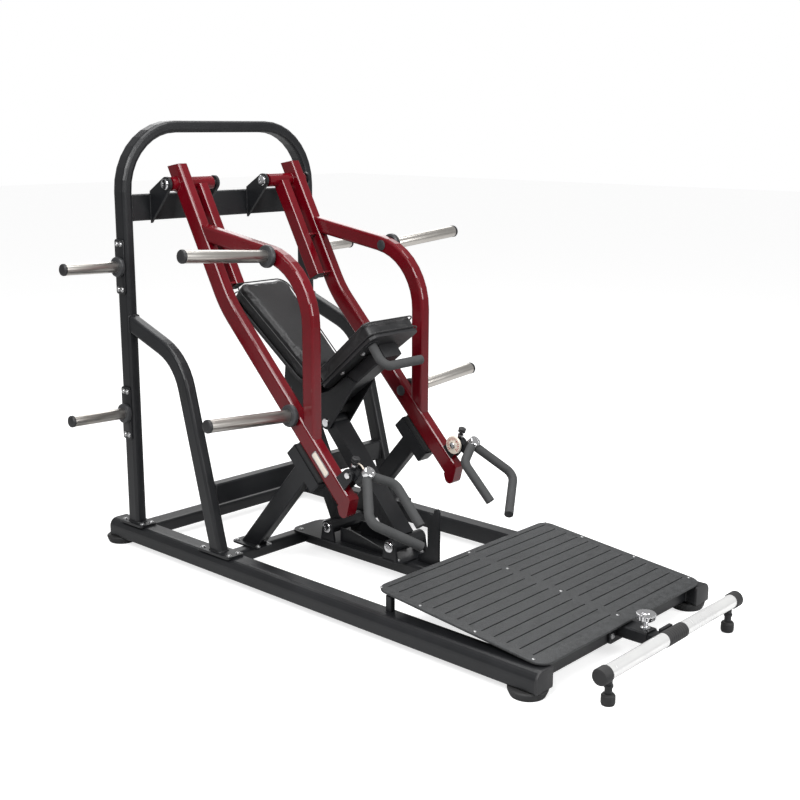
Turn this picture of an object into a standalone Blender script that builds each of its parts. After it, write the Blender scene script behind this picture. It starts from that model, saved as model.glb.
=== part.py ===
"""Plate-loaded squat and row machine, modelled as one object per sub-part.

Metres, +Z up.  +X runs from the uprights to the foot bar and +Y to the machine's right-hand side,
so "left" parts lie at -Y.  Lengths along X are stations, counted from the rear end of the base rails;
one empty, "machine", then moves the whole machine so that its footprint is centred on the origin.
"""

import math

import bmesh
import bpy
from mathutils import Quaternion, Vector
from mathutils.geometry import tessellate_polygon

# ---- driving dimensions, metres and degrees ----
RAIL_REAR_X = -1.242  # where station 0 lies
GAP = 0.0003  # clearance between pieces that touch
SIDES = (("left", -1), ("right", 1))

RAIL_LENGTH = 2.328
RAIL_Y = 0.516
RAIL_WIDTH, RAIL_HEIGHT = 0.094, 0.076
RAIL_BOTTOM = 0.030
RAIL_TOP = RAIL_BOTTOM + RAIL_HEIGHT
RAIL_INNER_Y = RAIL_Y - RAIL_WIDTH / 2
RAIL_ROUND, RAIL_EDGE = 0.036, 0.006
FOOT_STATIONS = (0.020, 2.270)
FOOT_RADIUS = 0.070
TUBE_WALL = 0.003
EDGE_ROUND = 0.012
CROSS_TOP = 0.091
CROSS_BOTTOM = 0.035
REAR_CROSS_STATION, REAR_CROSS_DEPTH = 0.120, 0.090
MID_CROSS_STATION, MID_CROSS_DEPTH = 0.6925, 0.055
FRONT_CROSS_STATION, FRONT_CROSS_DEPTH = 2.260, 0.060
CENTRE_RAIL_WIDTH = 0.110
PLATE = 0.010
PLATE_TOP = RAIL_TOP + PLATE + GAP

ARCH_STATION = 0.138
ARCH_WIDTH, ARCH_DEPTH = 0.050, 0.074
ARCH_TOP = 1.810
ARCH_BEND = 0.265
BEAM_BOTTOM, BEAM_TOP, BEAM_DEPTH = 1.424, 1.534, 0.050

BRACE_TOP_HEIGHT = 0.9968
BRACE_CORNER = (0.488, 0.883)
BRACE_FOOT_STATION = 0.6957
BRACE_WIDTH, BRACE_DEPTH, BRACE_BEND = 0.050, 0.068, 0.230
CROSSBAR_BOTTOM, CROSSBAR_TOP = 0.293, 0.381
CROSSBAR_STATION = 0.633

ARM_PIVOT = Vector((0.272, 0.0, 1.577))
ARM_CORNER = Vector((0.5595, 0.0, 1.0975))
ARM_UPPER_TILT, ARM_LOWER_TILT = -61.0, -45.6
ARM_Y, ARM_WIDTH, ARM_DEPTH = 0.319, 0.050, 0.078
ARM_UPPER_LENGTH, ARM_LOWER_LENGTH, ARM_BEND = 0.634, 0.975, 0.450
STRUT_Y, STRUT_WIDTH, STRUT_DEPTH = 0.2325, 0.045, 0.065
STRUT_LENGTH, STRUT_ABOVE = 0.480, 0.010
PIVOT_TUBE_RADIUS, PIVOT_BORE, AXLE_RADIUS = 0.029, 0.0155, 0.015
PIVOT_TUBE_REACH = (0.160, 0.3745)
BRACKET_YS, BRACKET = (0.140, 0.392), 0.012
LOOP_TOP_POINT = Vector((0.402, 0.0, 1.389))
LOOP_TILT, LOOP_FRONT_STATION = -8.7, 1.0525
LOOP_DEPTH, LOOP_BEND = 0.065, 0.2675
HORN_RADIUS, HORN_LENGTH, HORN_TILT = 0.025, 0.395, 4.2
HORN_COLLAR, HORN_CAP = 0.024, 0.014
ARM_HORNS = ((0.848, 1.318), (0.965, 0.698))

STORAGE_HEIGHTS = (0.609, 1.237)
STORAGE_RADIUS, STORAGE_LENGTH, STORAGE_TILT = 0.0235, 0.243, 2.0

STOP_FROM, STOP_TO = 0.661, 0.858
STOP_THICKNESS, RUBBER_THICKNESS = 0.058, 0.020
STOP_WIDTH = 0.070
POST_STATION = 0.683
POST_DEPTH, POST_WIDTH = 0.080, 0.050

TILT_ALONG, TILT_ABOVE = 0.917, 0.098
SWIVEL_ALONG, SWIVEL_Y = 0.962, 0.318
GRIP_RADIUS, GRIP_ABOVE = 0.019, 0.160
GRIP_ROUTES = (((0.069, -0.110), (0.262, -0.104)), ((0.1845, 0.120), (0.340, -0.051)))
HUB_HALF, HUB_PIN, LUG = 0.0165, 0.008, 0.009
DISC_RADIUS, PIN_GUIDE = 0.0375, 0.046

SEAT_VERTEX = Vector((0.832, 0.0, 0.809))
SEAT_TILT, BACK_TILT = 38.6, -39.1
SEAT_LENGTH, SEAT_HALF_WIDTH, SEAT_THICKNESS = 0.430, 0.147, 0.065
BACK_LENGTH, BACK_THICKNESS = 0.558, 0.070
BACK_TOP_HALF, BACK_BOTTOM_HALF = 0.150, 0.115
BOARD = 0.012
CARRIAGE_HALF = 0.050
CARRIAGE_PLATE = 0.008
SEAT_ARM_DEPTH, SEAT_ARM_LENGTH, SPINE_DEPTH = 0.060, 0.347, 0.040

REAR_BASE = Vector((0.901, 0.0, 0.157))
FRONT_BASE = Vector((1.259, 0.0, 0.155))
REAR_TOP = Vector((0.630, 0.0, 0.710))
FRONT_TOP = Vector((0.860, 0.0, 0.600))
BARREL_RADIUS, BARREL_HALF = 0.030, 0.0845
SADDLE_Y, SADDLE = 0.0905, 0.010
TOP_BARREL_RADIUS = 0.027
LINK_AXLE_RADIUS = 0.0125
OPEN_BORE, OPEN_PIN = 0.016, 0.010
BASE_PLATE_TOP = CROSS_TOP + 0.008 + GAP

DECK_REAR, DECK_FRONT = 1.582, 2.331
DECK_HALF = 0.520
DECK_REAR_TOP, DECK_FRONT_TOP = 0.192, 0.118
DECK_THICKNESS, DECK_CORNER = 0.010, 0.050
BEARER, BEARER_Y, PAD_Y = 0.024, 0.430, 0.494

BAR_STATION, BAR_HEIGHT, BAR_RADIUS = 2.504, 0.113, 0.026
BAR_HALF, BAR_CAP = 0.460, 0.045
BAR_LEG_Y = 0.400
RECEIVER_FRONT = 2.420
RECEIVER_WIDTH, RECEIVER_HEIGHT, RECEIVER_CENTRE = 0.070, 0.046, 0.081
KNOB_STATION = 2.394

# ---- finishes: base colour, roughness, metallic ----
FINISHES = {
    "frame": ((0.020, 0.021, 0.023), 0.45, 0.3),
    "crimson": ((0.300, 0.006, 0.022), 0.22, 0.3),
    "satin_steel": ((0.560, 0.550, 0.530), 0.30, 1.0),
    "chrome": ((0.800, 0.800, 0.810), 0.12, 1.0),
    "rubber": ((0.012, 0.012, 0.013), 0.80, 0.0),
    "grip": ((0.045, 0.046, 0.048), 0.75, 0.0),
    "plastic": ((0.020, 0.020, 0.022), 0.50, 0.0),
    "cream": ((0.720, 0.660, 0.560), 0.45, 0.0),
    "deck": ((0.050, 0.051, 0.053), 0.70, 0.2),
    "leatherette": ((0.012, 0.012, 0.013), 0.45, 0.0),
}

X_AXIS, Y_AXIS, Z_AXIS = Vector((1, 0, 0)), Vector((0, 1, 0)), Vector((0, 0, 1))
stations = {}


# ---- scene helpers ----
def clear_scene():
    for old in list(bpy.data.objects):
        bpy.data.objects.remove(old, do_unlink=True)


def add_empty(name, station, parent=None):
    """An empty at a station; every joint axis passes through one."""
    empty = bpy.data.objects.new(name, None)
    empty.empty_display_size = 0.05
    bpy.context.scene.collection.objects.link(empty)
    empty.parent = parent
    empty.location = station - (stations[parent.name] if parent else Vector((-RAIL_REAR_X, 0, 0)))
    stations[name] = station.copy()
    return empty


def paint(name, finish):
    colour, roughness, metallic = FINISHES[finish]
    material = bpy.data.materials.new(name)
    material.use_nodes = True
    shader = material.node_tree.nodes["Principled BSDF"]
    shader.inputs["Base Color"].default_value = (*colour, 1.0)
    shader.inputs["Roughness"].default_value = roughness
    shader.inputs["Metallic"].default_value = metallic
    material.diffuse_color = (*colour, 1.0)
    return material


def make_object(name, bm, finish, parent):
    """The mesh, drawn in stations, becomes an object whose origin is its parent's."""
    bmesh.ops.recalc_face_normals(bm, faces=bm.faces)
    bmesh.ops.translate(bm, verts=bm.verts, vec=-stations[parent.name])
    mesh = bpy.data.meshes.new(name)
    bm.to_mesh(mesh)
    bm.free()
    mesh.shade_smooth()
    mesh.set_sharp_from_angle(angle=math.radians(35))
    mesh.materials.append(paint(name, finish))
    made = bpy.data.objects.new(name, mesh)
    bpy.context.scene.collection.objects.link(made)
    made.parent = parent
    return made


def combine(target, bm, operation):
    """A Boolean with a hidden helper object that shares the target's parent."""
    helper = make_object(f"{target.name}_{operation.lower()}", bm, "frame", target.parent)
    helper.hide_render = True
    helper.display_type = "WIRE"
    modifier = target.modifiers.new(helper.name, "BOOLEAN")
    modifier.operation = operation
    modifier.object = helper
    modifier.solver = "EXACT"


def weld(name, pieces, finish, parent, bores=()):
    """One body from overlapping pieces, then opened along its bores."""
    made = make_object(name, pieces[0], finish, parent)
    for piece in pieces[1:]:
        combine(made, piece, "UNION")
    for bore in bores:
        combine(made, bore, "DIFFERENCE")
    return made


def drawn(add, *values, **named):
    """A new mesh holding one shape."""
    bm = bmesh.new()
    add(bm, *values, **named)
    return bm


# ---- geometry helpers ----
def inclined(origin, degrees):
    """Coordinates on a slanted line in the X-Z plane: along it, above it, and across the machine."""
    angle = math.radians(degrees)
    along = Vector((math.cos(angle), 0, math.sin(angle)))
    above = Vector((-math.sin(angle), 0, math.cos(angle)))
    return lambda distance, height=0.0, y=0.0: origin + along * distance + above * height + Y_AXIS * y


def direction(place, height=0.0):
    """The unit vector along a slanted line, or above it with height 1."""
    return place(1.0 - height, height) - place(0.0, 0.0)


def box_section(width, height, radii, wall=None):
    """Outer and inner outlines of a tube with rounded corners, counter-clockwise from corner +u +v."""
    signs = ((1, 1), (-1, 1), (-1, -1), (1, -1))

    def outline(inset):
        points = []
        for index, (radius, (sign_u, sign_v)) in enumerate(zip(radii, signs)):
            steps = 6 if radius > 0.02 else 3 if radius > 0.007 else 1
            left = max(radius - inset, 0.001)
            centre_u = sign_u * (width / 2 - inset - left)
            centre_v = sign_v * (height / 2 - inset - left)
            for step in range(steps + 1):
                angle = math.radians(90 * (index + step / steps))
                points.append((centre_u + left * math.cos(angle), centre_v + left * math.sin(angle)))
        return points

    return outline(0.0), outline(wall) if wall else None


def round_section(radius, bore=None, sides=20):
    def outline(size):
        turns = [2 * math.pi * index / sides for index in range(sides)]
        return [(size * math.cos(turn), size * math.sin(turn)) for turn in turns]

    return outline(radius), outline(bore) if bore else None


def bend(points, radius, steps):
    """The route with each inner corner rounded to a radius."""
    route = [points[0]]
    for before, corner, after in zip(points, points[1:], points[2:]):
        to_before, to_after = (before - corner).normalized(), (after - corner).normalized()
        half = to_before.angle(to_after) / 2
        centre = corner + (to_before + to_after).normalized() * radius / math.sin(half)
        start = corner + to_before * radius / math.tan(half) - centre
        finish = corner + to_after * radius / math.tan(half) - centre
        axis = start.cross(finish).normalized()
        for step in range(steps + 1):
            route.append(centre + Quaternion(axis, (math.pi - 2 * half) * step / steps) @ start)
    return route + [points[-1]]


def add_tube(bm, route, side, section, cuts=(None, None)):
    """Sweeps a section along a route in the plane square to side; cuts are the end planes' normals."""
    rings = [[] for loop in section if loop]
    for index, point in enumerate(route):
        ahead = (route[min(index + 1, len(route) - 1)] - route[min(index, len(route) - 2)]).normalized()
        behind = (route[max(index, 1)] - route[max(index - 1, 0)]).normalized()
        plane = (ahead + behind).normalized()
        if index in (0, len(route) - 1):
            plane = cuts[0 if index == 0 else 1] or plane
        for ring, loop in zip(rings, section):
            ring.append([])
            for across, up in loop:
                corner = side * across + ahead.cross(side) * up
                shift = -corner.dot(plane) / ahead.dot(plane)
                ring[-1].append(bm.verts.new(point + corner + ahead * shift))
    for ring in rings:
        for lower, upper in zip(ring, ring[1:]):
            join_loops(bm, lower, upper)
    for end in (0, -1):
        if len(rings) == 2:
            join_loops(bm, rings[0][end], rings[1][end])
        else:
            bm.faces.new(rings[0][end])


def join_loops(bm, first, second):
    for index, corner in enumerate(first):
        after = (index + 1) % len(first)
        bm.faces.new((corner, first[after], second[after], second[index]))


def add_turned(bm, profile, start, axis, sides=20):
    """A solid of revolution; profile pairs are distance along the axis and radius."""
    across = axis.orthogonal().normalized()
    other = axis.cross(across).normalized()
    rings = []
    for distance, radius in profile:
        centre = start + axis * distance
        if radius == 0:
            rings.append([bm.verts.new(centre)])
            continue
        turns = [2 * math.pi * index / sides for index in range(sides)]
        rings.append(
            [bm.verts.new(centre + (across * math.cos(t) + other * math.sin(t)) * radius) for t in turns]
        )
    for lower, upper in zip(rings, rings[1:]):
        if len(upper) == 1 or len(lower) == 1:
            tip, ring = (upper[0], lower) if len(upper) == 1 else (lower[0], upper)
            for index, corner in enumerate(ring):
                bm.faces.new((corner, ring[(index + 1) % sides], tip))
        else:
            join_loops(bm, lower, upper)
    for ring in (rings[0], rings[-1]):
        if len(ring) > 1:
            bm.faces.new(ring)


def circle(centre, radius, count=16):
    turns = [2 * math.pi * index / count for index in range(count)]
    return [(centre[0] + radius * math.cos(t), centre[1] + radius * math.sin(t)) for t in turns]


def hull(points):
    """The convex outline around points, counter-clockwise."""
    ordered = sorted(set((round(a, 6), round(b, 6)) for a, b in points))
    halves = []
    for run in (ordered, ordered[::-1]):
        half = []
        for point in run:
            while len(half) > 1 and turn_of(half[-2], half[-1], point) <= 1e-9:
                half.pop()
            half.append(point)
        halves += half[:-1]
    return halves


def turn_of(first, second, third):
    return (second[0] - first[0]) * (third[1] - first[1]) - (second[1] - first[1]) * (third[0] - first[0])


def add_plate(bm, outline, centre, along, up, thickness, holes=()):
    """A flat plate, half its thickness each side of its plane; holes are (along, up, radius)."""
    normal = along.cross(up).normalized()
    loops = [outline] + [circle(hole[:2], hole[2]) for hole in holes]
    faces = tessellate_polygon([[Vector((a, b, 0)) for a, b in loop] for loop in loops])
    layers = []
    for offset in (-thickness / 2, thickness / 2):
        base = centre + normal * offset
        layers.append([bm.verts.new(base + along * a + up * b) for loop in loops for a, b in loop])
    for face in faces:
        bm.faces.new([layers[0][index] for index in face])
        bm.faces.new([layers[1][index] for index in reversed(face)])
    first = 0
    for loop in loops:
        last = first + len(loop)
        join_loops(bm, layers[0][first:last], layers[1][first:last])
        first = last


def add_box(bm, low, high):
    """A block between two corners, square to the axes."""
    centre = (Vector(low) + Vector(high)) / 2
    size = Vector(high) - Vector(low)
    outline = [(sx * size.x / 2, sy * size.y / 2) for sx, sy in ((-1, -1), (1, -1), (1, 1), (-1, 1))]
    add_plate(bm, outline, centre, X_AXIS, Y_AXIS, size.z)


def rounded_outline(corners, radius, steps=3):
    """A flat outline with every corner rounded."""
    points = [Vector((a, b, 0)) for a, b in corners]
    outline = []
    for index, corner in enumerate(points):
        arc = bend([points[index - 1], corner, points[(index + 1) % len(points)]], radius, steps)
        outline += [(point.x, point.y) for point in arc[1:-1]]
    return outline


def flat(point):
    return point.x, point.z


# ---- base frame ----
def build_base(machine):
    height = RAIL_BOTTOM + RAIL_HEIGHT / 2
    for name, sign in SIDES:
        outer_top = (RAIL_ROUND, EDGE_ROUND / 2) if sign > 0 else (EDGE_ROUND / 2, RAIL_ROUND)
        profile = box_section(RAIL_WIDTH, RAIL_HEIGHT, (*outer_top, RAIL_EDGE, RAIL_EDGE), 0.004)
        route = [Vector((end, sign * RAIL_Y, height)) for end in (0, RAIL_LENGTH)]
        make_object(f"rail_{name}", drawn(add_tube, route, Y_AXIS, profile), "frame", machine)
        top = RAIL_BOTTOM - GAP
        bowl = ((0, 0.86), (top * 0.55, 0.97), (top * 0.85, 1.0), (top, 0.93))
        bowl = [(level, FOOT_RADIUS * share) for level, share in bowl]
        for end_name, station in zip(("rear", "front"), FOOT_STATIONS):
            foot = Vector((station, sign * RAIL_Y, 0))
            bm = drawn(add_turned, bowl, foot, Z_AXIS, 24)
            make_object(f"foot_{end_name}_{name}", bm, "rubber", machine)

    reach = RAIL_INNER_Y - GAP
    crosses = (
        ("cross_tube_rear", REAR_CROSS_STATION, REAR_CROSS_DEPTH),
        ("cross_tube_mid", MID_CROSS_STATION, MID_CROSS_DEPTH),
        ("cross_tube_front", FRONT_CROSS_STATION, FRONT_CROSS_DEPTH),
    )
    height = (CROSS_TOP + CROSS_BOTTOM) / 2
    for name, station, depth in crosses:
        profile = box_section(depth, CROSS_TOP - CROSS_BOTTOM, [EDGE_ROUND] * 4, TUBE_WALL)
        route = [Vector((station, y, height)) for y in (-reach, reach)]
        make_object(name, drawn(add_tube, route, X_AXIS, profile), "frame", machine)

    profile = box_section(CENTRE_RAIL_WIDTH, CROSS_TOP - CROSS_BOTTOM, [EDGE_ROUND] * 4, TUBE_WALL)
    rear = MID_CROSS_STATION + MID_CROSS_DEPTH / 2 + GAP
    front = FRONT_CROSS_STATION - FRONT_CROSS_DEPTH / 2 - GAP
    route = [Vector((end, 0, height)) for end in (rear, front)]
    make_object("centre_rail", drawn(add_tube, route, Y_AXIS, profile), "frame", machine)


def rounded_rectangle(length, width, radius):
    half_l, half_w = length / 2, width / 2
    corners = ((-half_l, -half_w), (half_l, -half_w), (half_l, half_w), (-half_l, half_w))
    return rounded_outline(corners, radius)


def foot_plate(station, sign, length):
    """A flat plate on a rail's top, with a vent hole under the tube that it closes."""
    outline = rounded_rectangle(length, 0.086, 0.012)
    middle = Vector((station, sign * (RAIL_Y - 0.002), PLATE_TOP - PLATE / 2))
    return drawn(add_plate, outline, middle, X_AXIS, Y_AXIS, PLATE, [(0, 0, 0.012)])


# ---- upright arch, braces and top beam ----
def build_uprights(machine):
    profile = box_section(ARCH_DEPTH, ARCH_WIDTH, [0.016] * 4, TUBE_WALL)
    foot = PLATE_TOP - 0.002
    corners = ((-RAIL_Y, foot), (-RAIL_Y, ARCH_TOP), (RAIL_Y, ARCH_TOP), (RAIL_Y, foot))
    route = bend([Vector((ARCH_STATION, y, z)) for y, z in corners], ARCH_BEND, 9)
    pieces = [drawn(add_tube, route, X_AXIS, profile)]
    pieces += [foot_plate(ARCH_STATION, sign, 0.160) for name, sign in SIDES]
    weld("arch_frame", pieces, "frame", machine)

    reach = RAIL_Y - ARCH_WIDTH / 2 - GAP
    profile = box_section(BEAM_DEPTH, BEAM_TOP - BEAM_BOTTOM, [0.005] * 4, TUBE_WALL)
    height = (BEAM_TOP + BEAM_BOTTOM) / 2
    route = [Vector((ARCH_STATION, y, height)) for y in (-reach, reach)]
    pieces = [drawn(add_tube, route, X_AXIS, profile)]
    weld_line = ARCH_STATION + BEAM_DEPTH / 2 - 0.002
    rear_edge = [(weld_line, BEAM_BOTTOM - 0.012), (weld_line, BEAM_TOP + 0.012)]
    outline = hull(rear_edge + circle(flat(ARM_PIVOT), 0.031, 20))
    hole = (*flat(ARM_PIVOT), AXLE_RADIUS + GAP)
    for name, sign in SIDES:
        for y in BRACKET_YS:
            middle = Y_AXIS * sign * y
            pieces.append(drawn(add_plate, outline, middle, X_AXIS, Z_AXIS, BRACKET, [hole]))
    weld("top_beam", pieces, "frame", machine)

    profile = box_section(BRACE_WIDTH, BRACE_DEPTH, [EDGE_ROUND] * 4, TUBE_WALL)
    for name, sign in SIDES:
        y = sign * RAIL_Y
        top = Vector((ARCH_STATION + ARCH_DEPTH / 2 + GAP, y, BRACE_TOP_HEIGHT))
        corner = Vector((BRACE_CORNER[0], y, BRACE_CORNER[1]))
        end = Vector((BRACE_FOOT_STATION, y, foot))
        route = bend([top, corner, end], BRACE_BEND, 7)
        tube = drawn(add_tube, route, Y_AXIS, profile, (X_AXIS, Z_AXIS))
        plate = foot_plate(BRACE_FOOT_STATION + 0.006, sign, 0.200)
        weld(f"brace_{name}", [tube, plate], "frame", machine)

    reach = RAIL_Y - BRACE_WIDTH / 2 - GAP
    profile = box_section(0.050, CROSSBAR_TOP - CROSSBAR_BOTTOM, [0.005] * 4, TUBE_WALL)
    height = (CROSSBAR_TOP + CROSSBAR_BOTTOM) / 2
    route = [Vector((CROSSBAR_STATION, y, height)) for y in (-reach, reach)]
    make_object("brace_crossbar", drawn(add_tube, route, X_AXIS, profile), "frame", machine)

    inner, outer = BRACKET_YS[0] - BRACKET / 2, BRACKET_YS[1] + BRACKET / 2
    for name, sign in SIDES:
        start = ARM_PIVOT + Y_AXIS * sign * inner
        bm = drawn(add_axle, start, Y_AXIS * sign, outer - inner, AXLE_RADIUS, 0.021)
        make_object(f"arm_{name}_axle", bm, "chrome", machine)


def add_axle(bm, start, axis, length, radius, head):
    """A shaft between two domed heads, each a gap clear of the plate it holds."""
    half = [(-0.008, head * 0.7), (-0.006, head), (-GAP, head), (-GAP, radius)]
    other = [(length - distance, size) for distance, size in reversed(half)]
    add_turned(bm, half + other, start, axis, 16)


def add_horn(bm, root, sign, radius, length, tilt):
    """A sleeve open at its root, with a collar there and a domed cap at its outer end."""
    axis = Vector((0, sign * math.cos(math.radians(tilt)), math.sin(math.radians(tilt))))
    bore, end = radius - 0.005, length + HORN_COLLAR
    profile = ((end - 0.003, 0), (end - 0.003, bore), (0, bore), (0, radius * 1.5))
    profile += ((0.004, radius * 1.8), (HORN_COLLAR - 0.005, radius * 1.8), (HORN_COLLAR, radius * 1.5))
    profile += ((HORN_COLLAR, radius), (end + 0.006, radius), (end + HORN_CAP, radius * 0.82))
    add_turned(bm, (*profile, (end + HORN_CAP + 0.001, 0)), root, axis)


def build_storage(machine):
    """Each storage horn has its own plate, bolted to the upright's outer face."""
    face = RAIL_Y + ARCH_WIDTH / 2 + GAP
    for name, sign in SIDES:
        for level, height in zip(("lower", "upper"), STORAGE_HEIGHTS):
            root = Vector((ARCH_STATION, sign * (face + 0.006), height))
            size = (STORAGE_RADIUS, STORAGE_LENGTH, STORAGE_TILT)
            horn = drawn(add_horn, root, sign, *size)
            outline = rounded_rectangle(0.060, 0.230, 0.012)
            middle = Vector((ARCH_STATION, sign * (face + 0.004), height))
            bm = drawn(add_plate, outline, middle, X_AXIS, Z_AXIS, 0.008, [(0, 0, 0.010)])
            weld(f"storage_horn_{level}_{name}", [bm, horn], "satin_steel", machine)


# ---- arm rests ----
def build_stops(machine, lower_arm):
    normal = direction(lower_arm, 1.0)
    middle = (STOP_FROM + STOP_TO) / 2
    length = STOP_TO - STOP_FROM
    rubber_bottom = -ARM_DEPTH / 2 - GAP - RUBBER_THICKNESS
    block_bottom = rubber_bottom - GAP - STOP_THICKNESS
    for name, sign in SIDES:
        y = sign * ARM_Y
        foot = Vector((POST_STATION, y, BASE_PLATE_TOP - 0.002))
        top = lower_arm(middle, block_bottom + 0.004, y)
        profile = box_section(POST_WIDTH, POST_DEPTH, [0.008] * 4, TUBE_WALL)
        pieces = [drawn(add_tube, [foot, top], Y_AXIS, profile, (Z_AXIS, normal))]
        centre = lower_arm(middle, block_bottom + STOP_THICKNESS / 2, y)
        outline = rounded_rectangle(length, STOP_WIDTH, 0.006)
        pieces.append(drawn(add_plate, outline, centre, direction(lower_arm), Y_AXIS, STOP_THICKNESS))
        centre = Vector((POST_STATION, y + sign * 0.006, (CROSS_TOP + GAP + BASE_PLATE_TOP) / 2))
        outline = rounded_rectangle(0.170, 0.090, 0.020)
        hole = [(0, -sign * 0.006, 0.012)]
        thickness = BASE_PLATE_TOP - CROSS_TOP - GAP
        pieces.append(drawn(add_plate, outline, centre, X_AXIS, Y_AXIS, thickness, hole))
        weld(f"arm_stop_{name}", pieces, "frame", machine)
        centre = lower_arm(middle, rubber_bottom + RUBBER_THICKNESS / 2, y)
        outline = rounded_rectangle(length - 0.012, STOP_WIDTH - 0.012, 0.008)
        bm = drawn(add_plate, outline, centre, direction(lower_arm), Y_AXIS, RUBBER_THICKNESS)
        make_object(f"arm_stop_rubber_{name}", bm, "rubber", machine)


# ---- swinging arms ----
def build_arm(machine, name, sign, upper_arm, lower_arm):
    hinge = add_empty(f"arm_{name}_hinge", ARM_PIVOT, machine)
    y = sign * ARM_Y
    half = ARM_DEPTH / 2

    top = upper_arm(-ARM_UPPER_LENGTH, 0, y)
    tip = lower_arm(ARM_LOWER_LENGTH, 0, y)
    profile = box_section(ARM_WIDTH, ARM_DEPTH, [0.011] * 4, TUBE_WALL)
    top_cut = (direction(upper_arm) - direction(upper_arm, 1.0) * 0.35).normalized()
    route = bend([top, ARM_CORNER + Y_AXIS * y, tip], ARM_BEND, 4)
    main = drawn(add_tube, route, Y_AXIS, profile, (top_cut, None))
    sizes = [(reach, PIVOT_TUBE_RADIUS + GAP) for reach in (0, 0.080)]
    bore = drawn(add_turned, sizes, ARM_PIVOT + Y_AXIS * (y - 0.040), Y_AXIS, 24)
    pieces = [main, drawn(add_arm_tip, lower_arm, sign)]
    weld(f"arm_{name}_main_tube", pieces, "crimson", hinge, [bore])

    route = [ARM_PIVOT + Y_AXIS * sign * reach for reach in PIVOT_TUBE_REACH]
    pivot = drawn(add_tube, route, X_AXIS, round_section(PIVOT_TUBE_RADIUS, PIVOT_BORE, 24))
    strut = inclined(ARM_PIVOT, ARM_UPPER_TILT)
    ends = (PIVOT_TUBE_RADIUS - 0.008, STRUT_LENGTH)
    route = [strut(along, STRUT_ABOVE, sign * STRUT_Y) for along in ends]
    profile = box_section(STRUT_WIDTH, STRUT_DEPTH, [0.008] * 4, TUBE_WALL)
    pieces = [pivot, drawn(add_tube, route, Y_AXIS, profile)]
    low, high = STRUT_Y + STRUT_WIDTH / 2 - 0.002, ARM_Y - ARM_WIDTH / 2 - GAP
    for along in (STRUT_LENGTH * 0.6, STRUT_LENGTH - 0.006):
        centre = strut(along, STRUT_ABOVE, sign * (low + high) / 2)
        outline = rounded_rectangle(STRUT_DEPTH - 0.006, high - low, 0.003)
        pieces.append(drawn(add_plate, outline, centre, direction(strut, 1.0), Y_AXIS, 0.008))
    weld(f"arm_{name}_strut", pieces, "crimson", hinge)

    loop_top = inclined(LOOP_TOP_POINT + Y_AXIS * y, LOOP_TILT)
    front = half + GAP
    start = meet(loop_top, upper_arm(0, front), direction(upper_arm, 1.0))
    rise = (LOOP_FRONT_STATION - LOOP_TOP_POINT.x) / direction(loop_top).x
    corner = loop_top(rise)
    end = meet(inclined(corner, -90), lower_arm(0, front), direction(lower_arm, 1.0))
    profile = box_section(ARM_WIDTH, LOOP_DEPTH, [0.011] * 4, TUBE_WALL)
    cuts = (direction(upper_arm, 1.0), direction(lower_arm, 1.0))
    bm = drawn(add_tube, bend([start, corner, end], LOOP_BEND, 9), Y_AXIS, profile, cuts)
    make_object(f"arm_{name}_loop", bm, "crimson", hinge)

    for level, (station, height) in zip(("upper", "lower"), ARM_HORNS):
        face = ARM_Y + ARM_WIDTH / 2 + 0.0036
        root = Vector((station, sign * face, height))
        bm = drawn(add_horn, root, sign, HORN_RADIUS, HORN_LENGTH, HORN_TILT)
        make_object(f"weight_horn_{level}_{name}", bm, "satin_steel", hinge)
    build_handle(hinge, name, sign, lower_arm)


def meet(line, point, normal):
    """Where a slanted line meets a plane."""
    start, step = line(0.0), direction(line)
    return line((point - start).dot(normal) / step.dot(normal))


def add_arm_tip(bm, lower_arm, sign):
    """The closed tip: cut back at the front and carried down to a round nose behind."""
    end, half = ARM_LOWER_LENGTH - 0.002, ARM_DEPTH / 2
    nose = circle((end + 0.033, -0.029), 0.024, 20)
    corners = [(end, -half), (end, half), (end + 0.022, half - 0.003)]
    outline = hull(corners + [point for point in nose if point[0] > end])
    centre = lower_arm(0, 0, sign * ARM_Y)
    add_plate(bm, outline, centre, direction(lower_arm), direction(lower_arm, 1.0), ARM_WIDTH)


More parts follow.
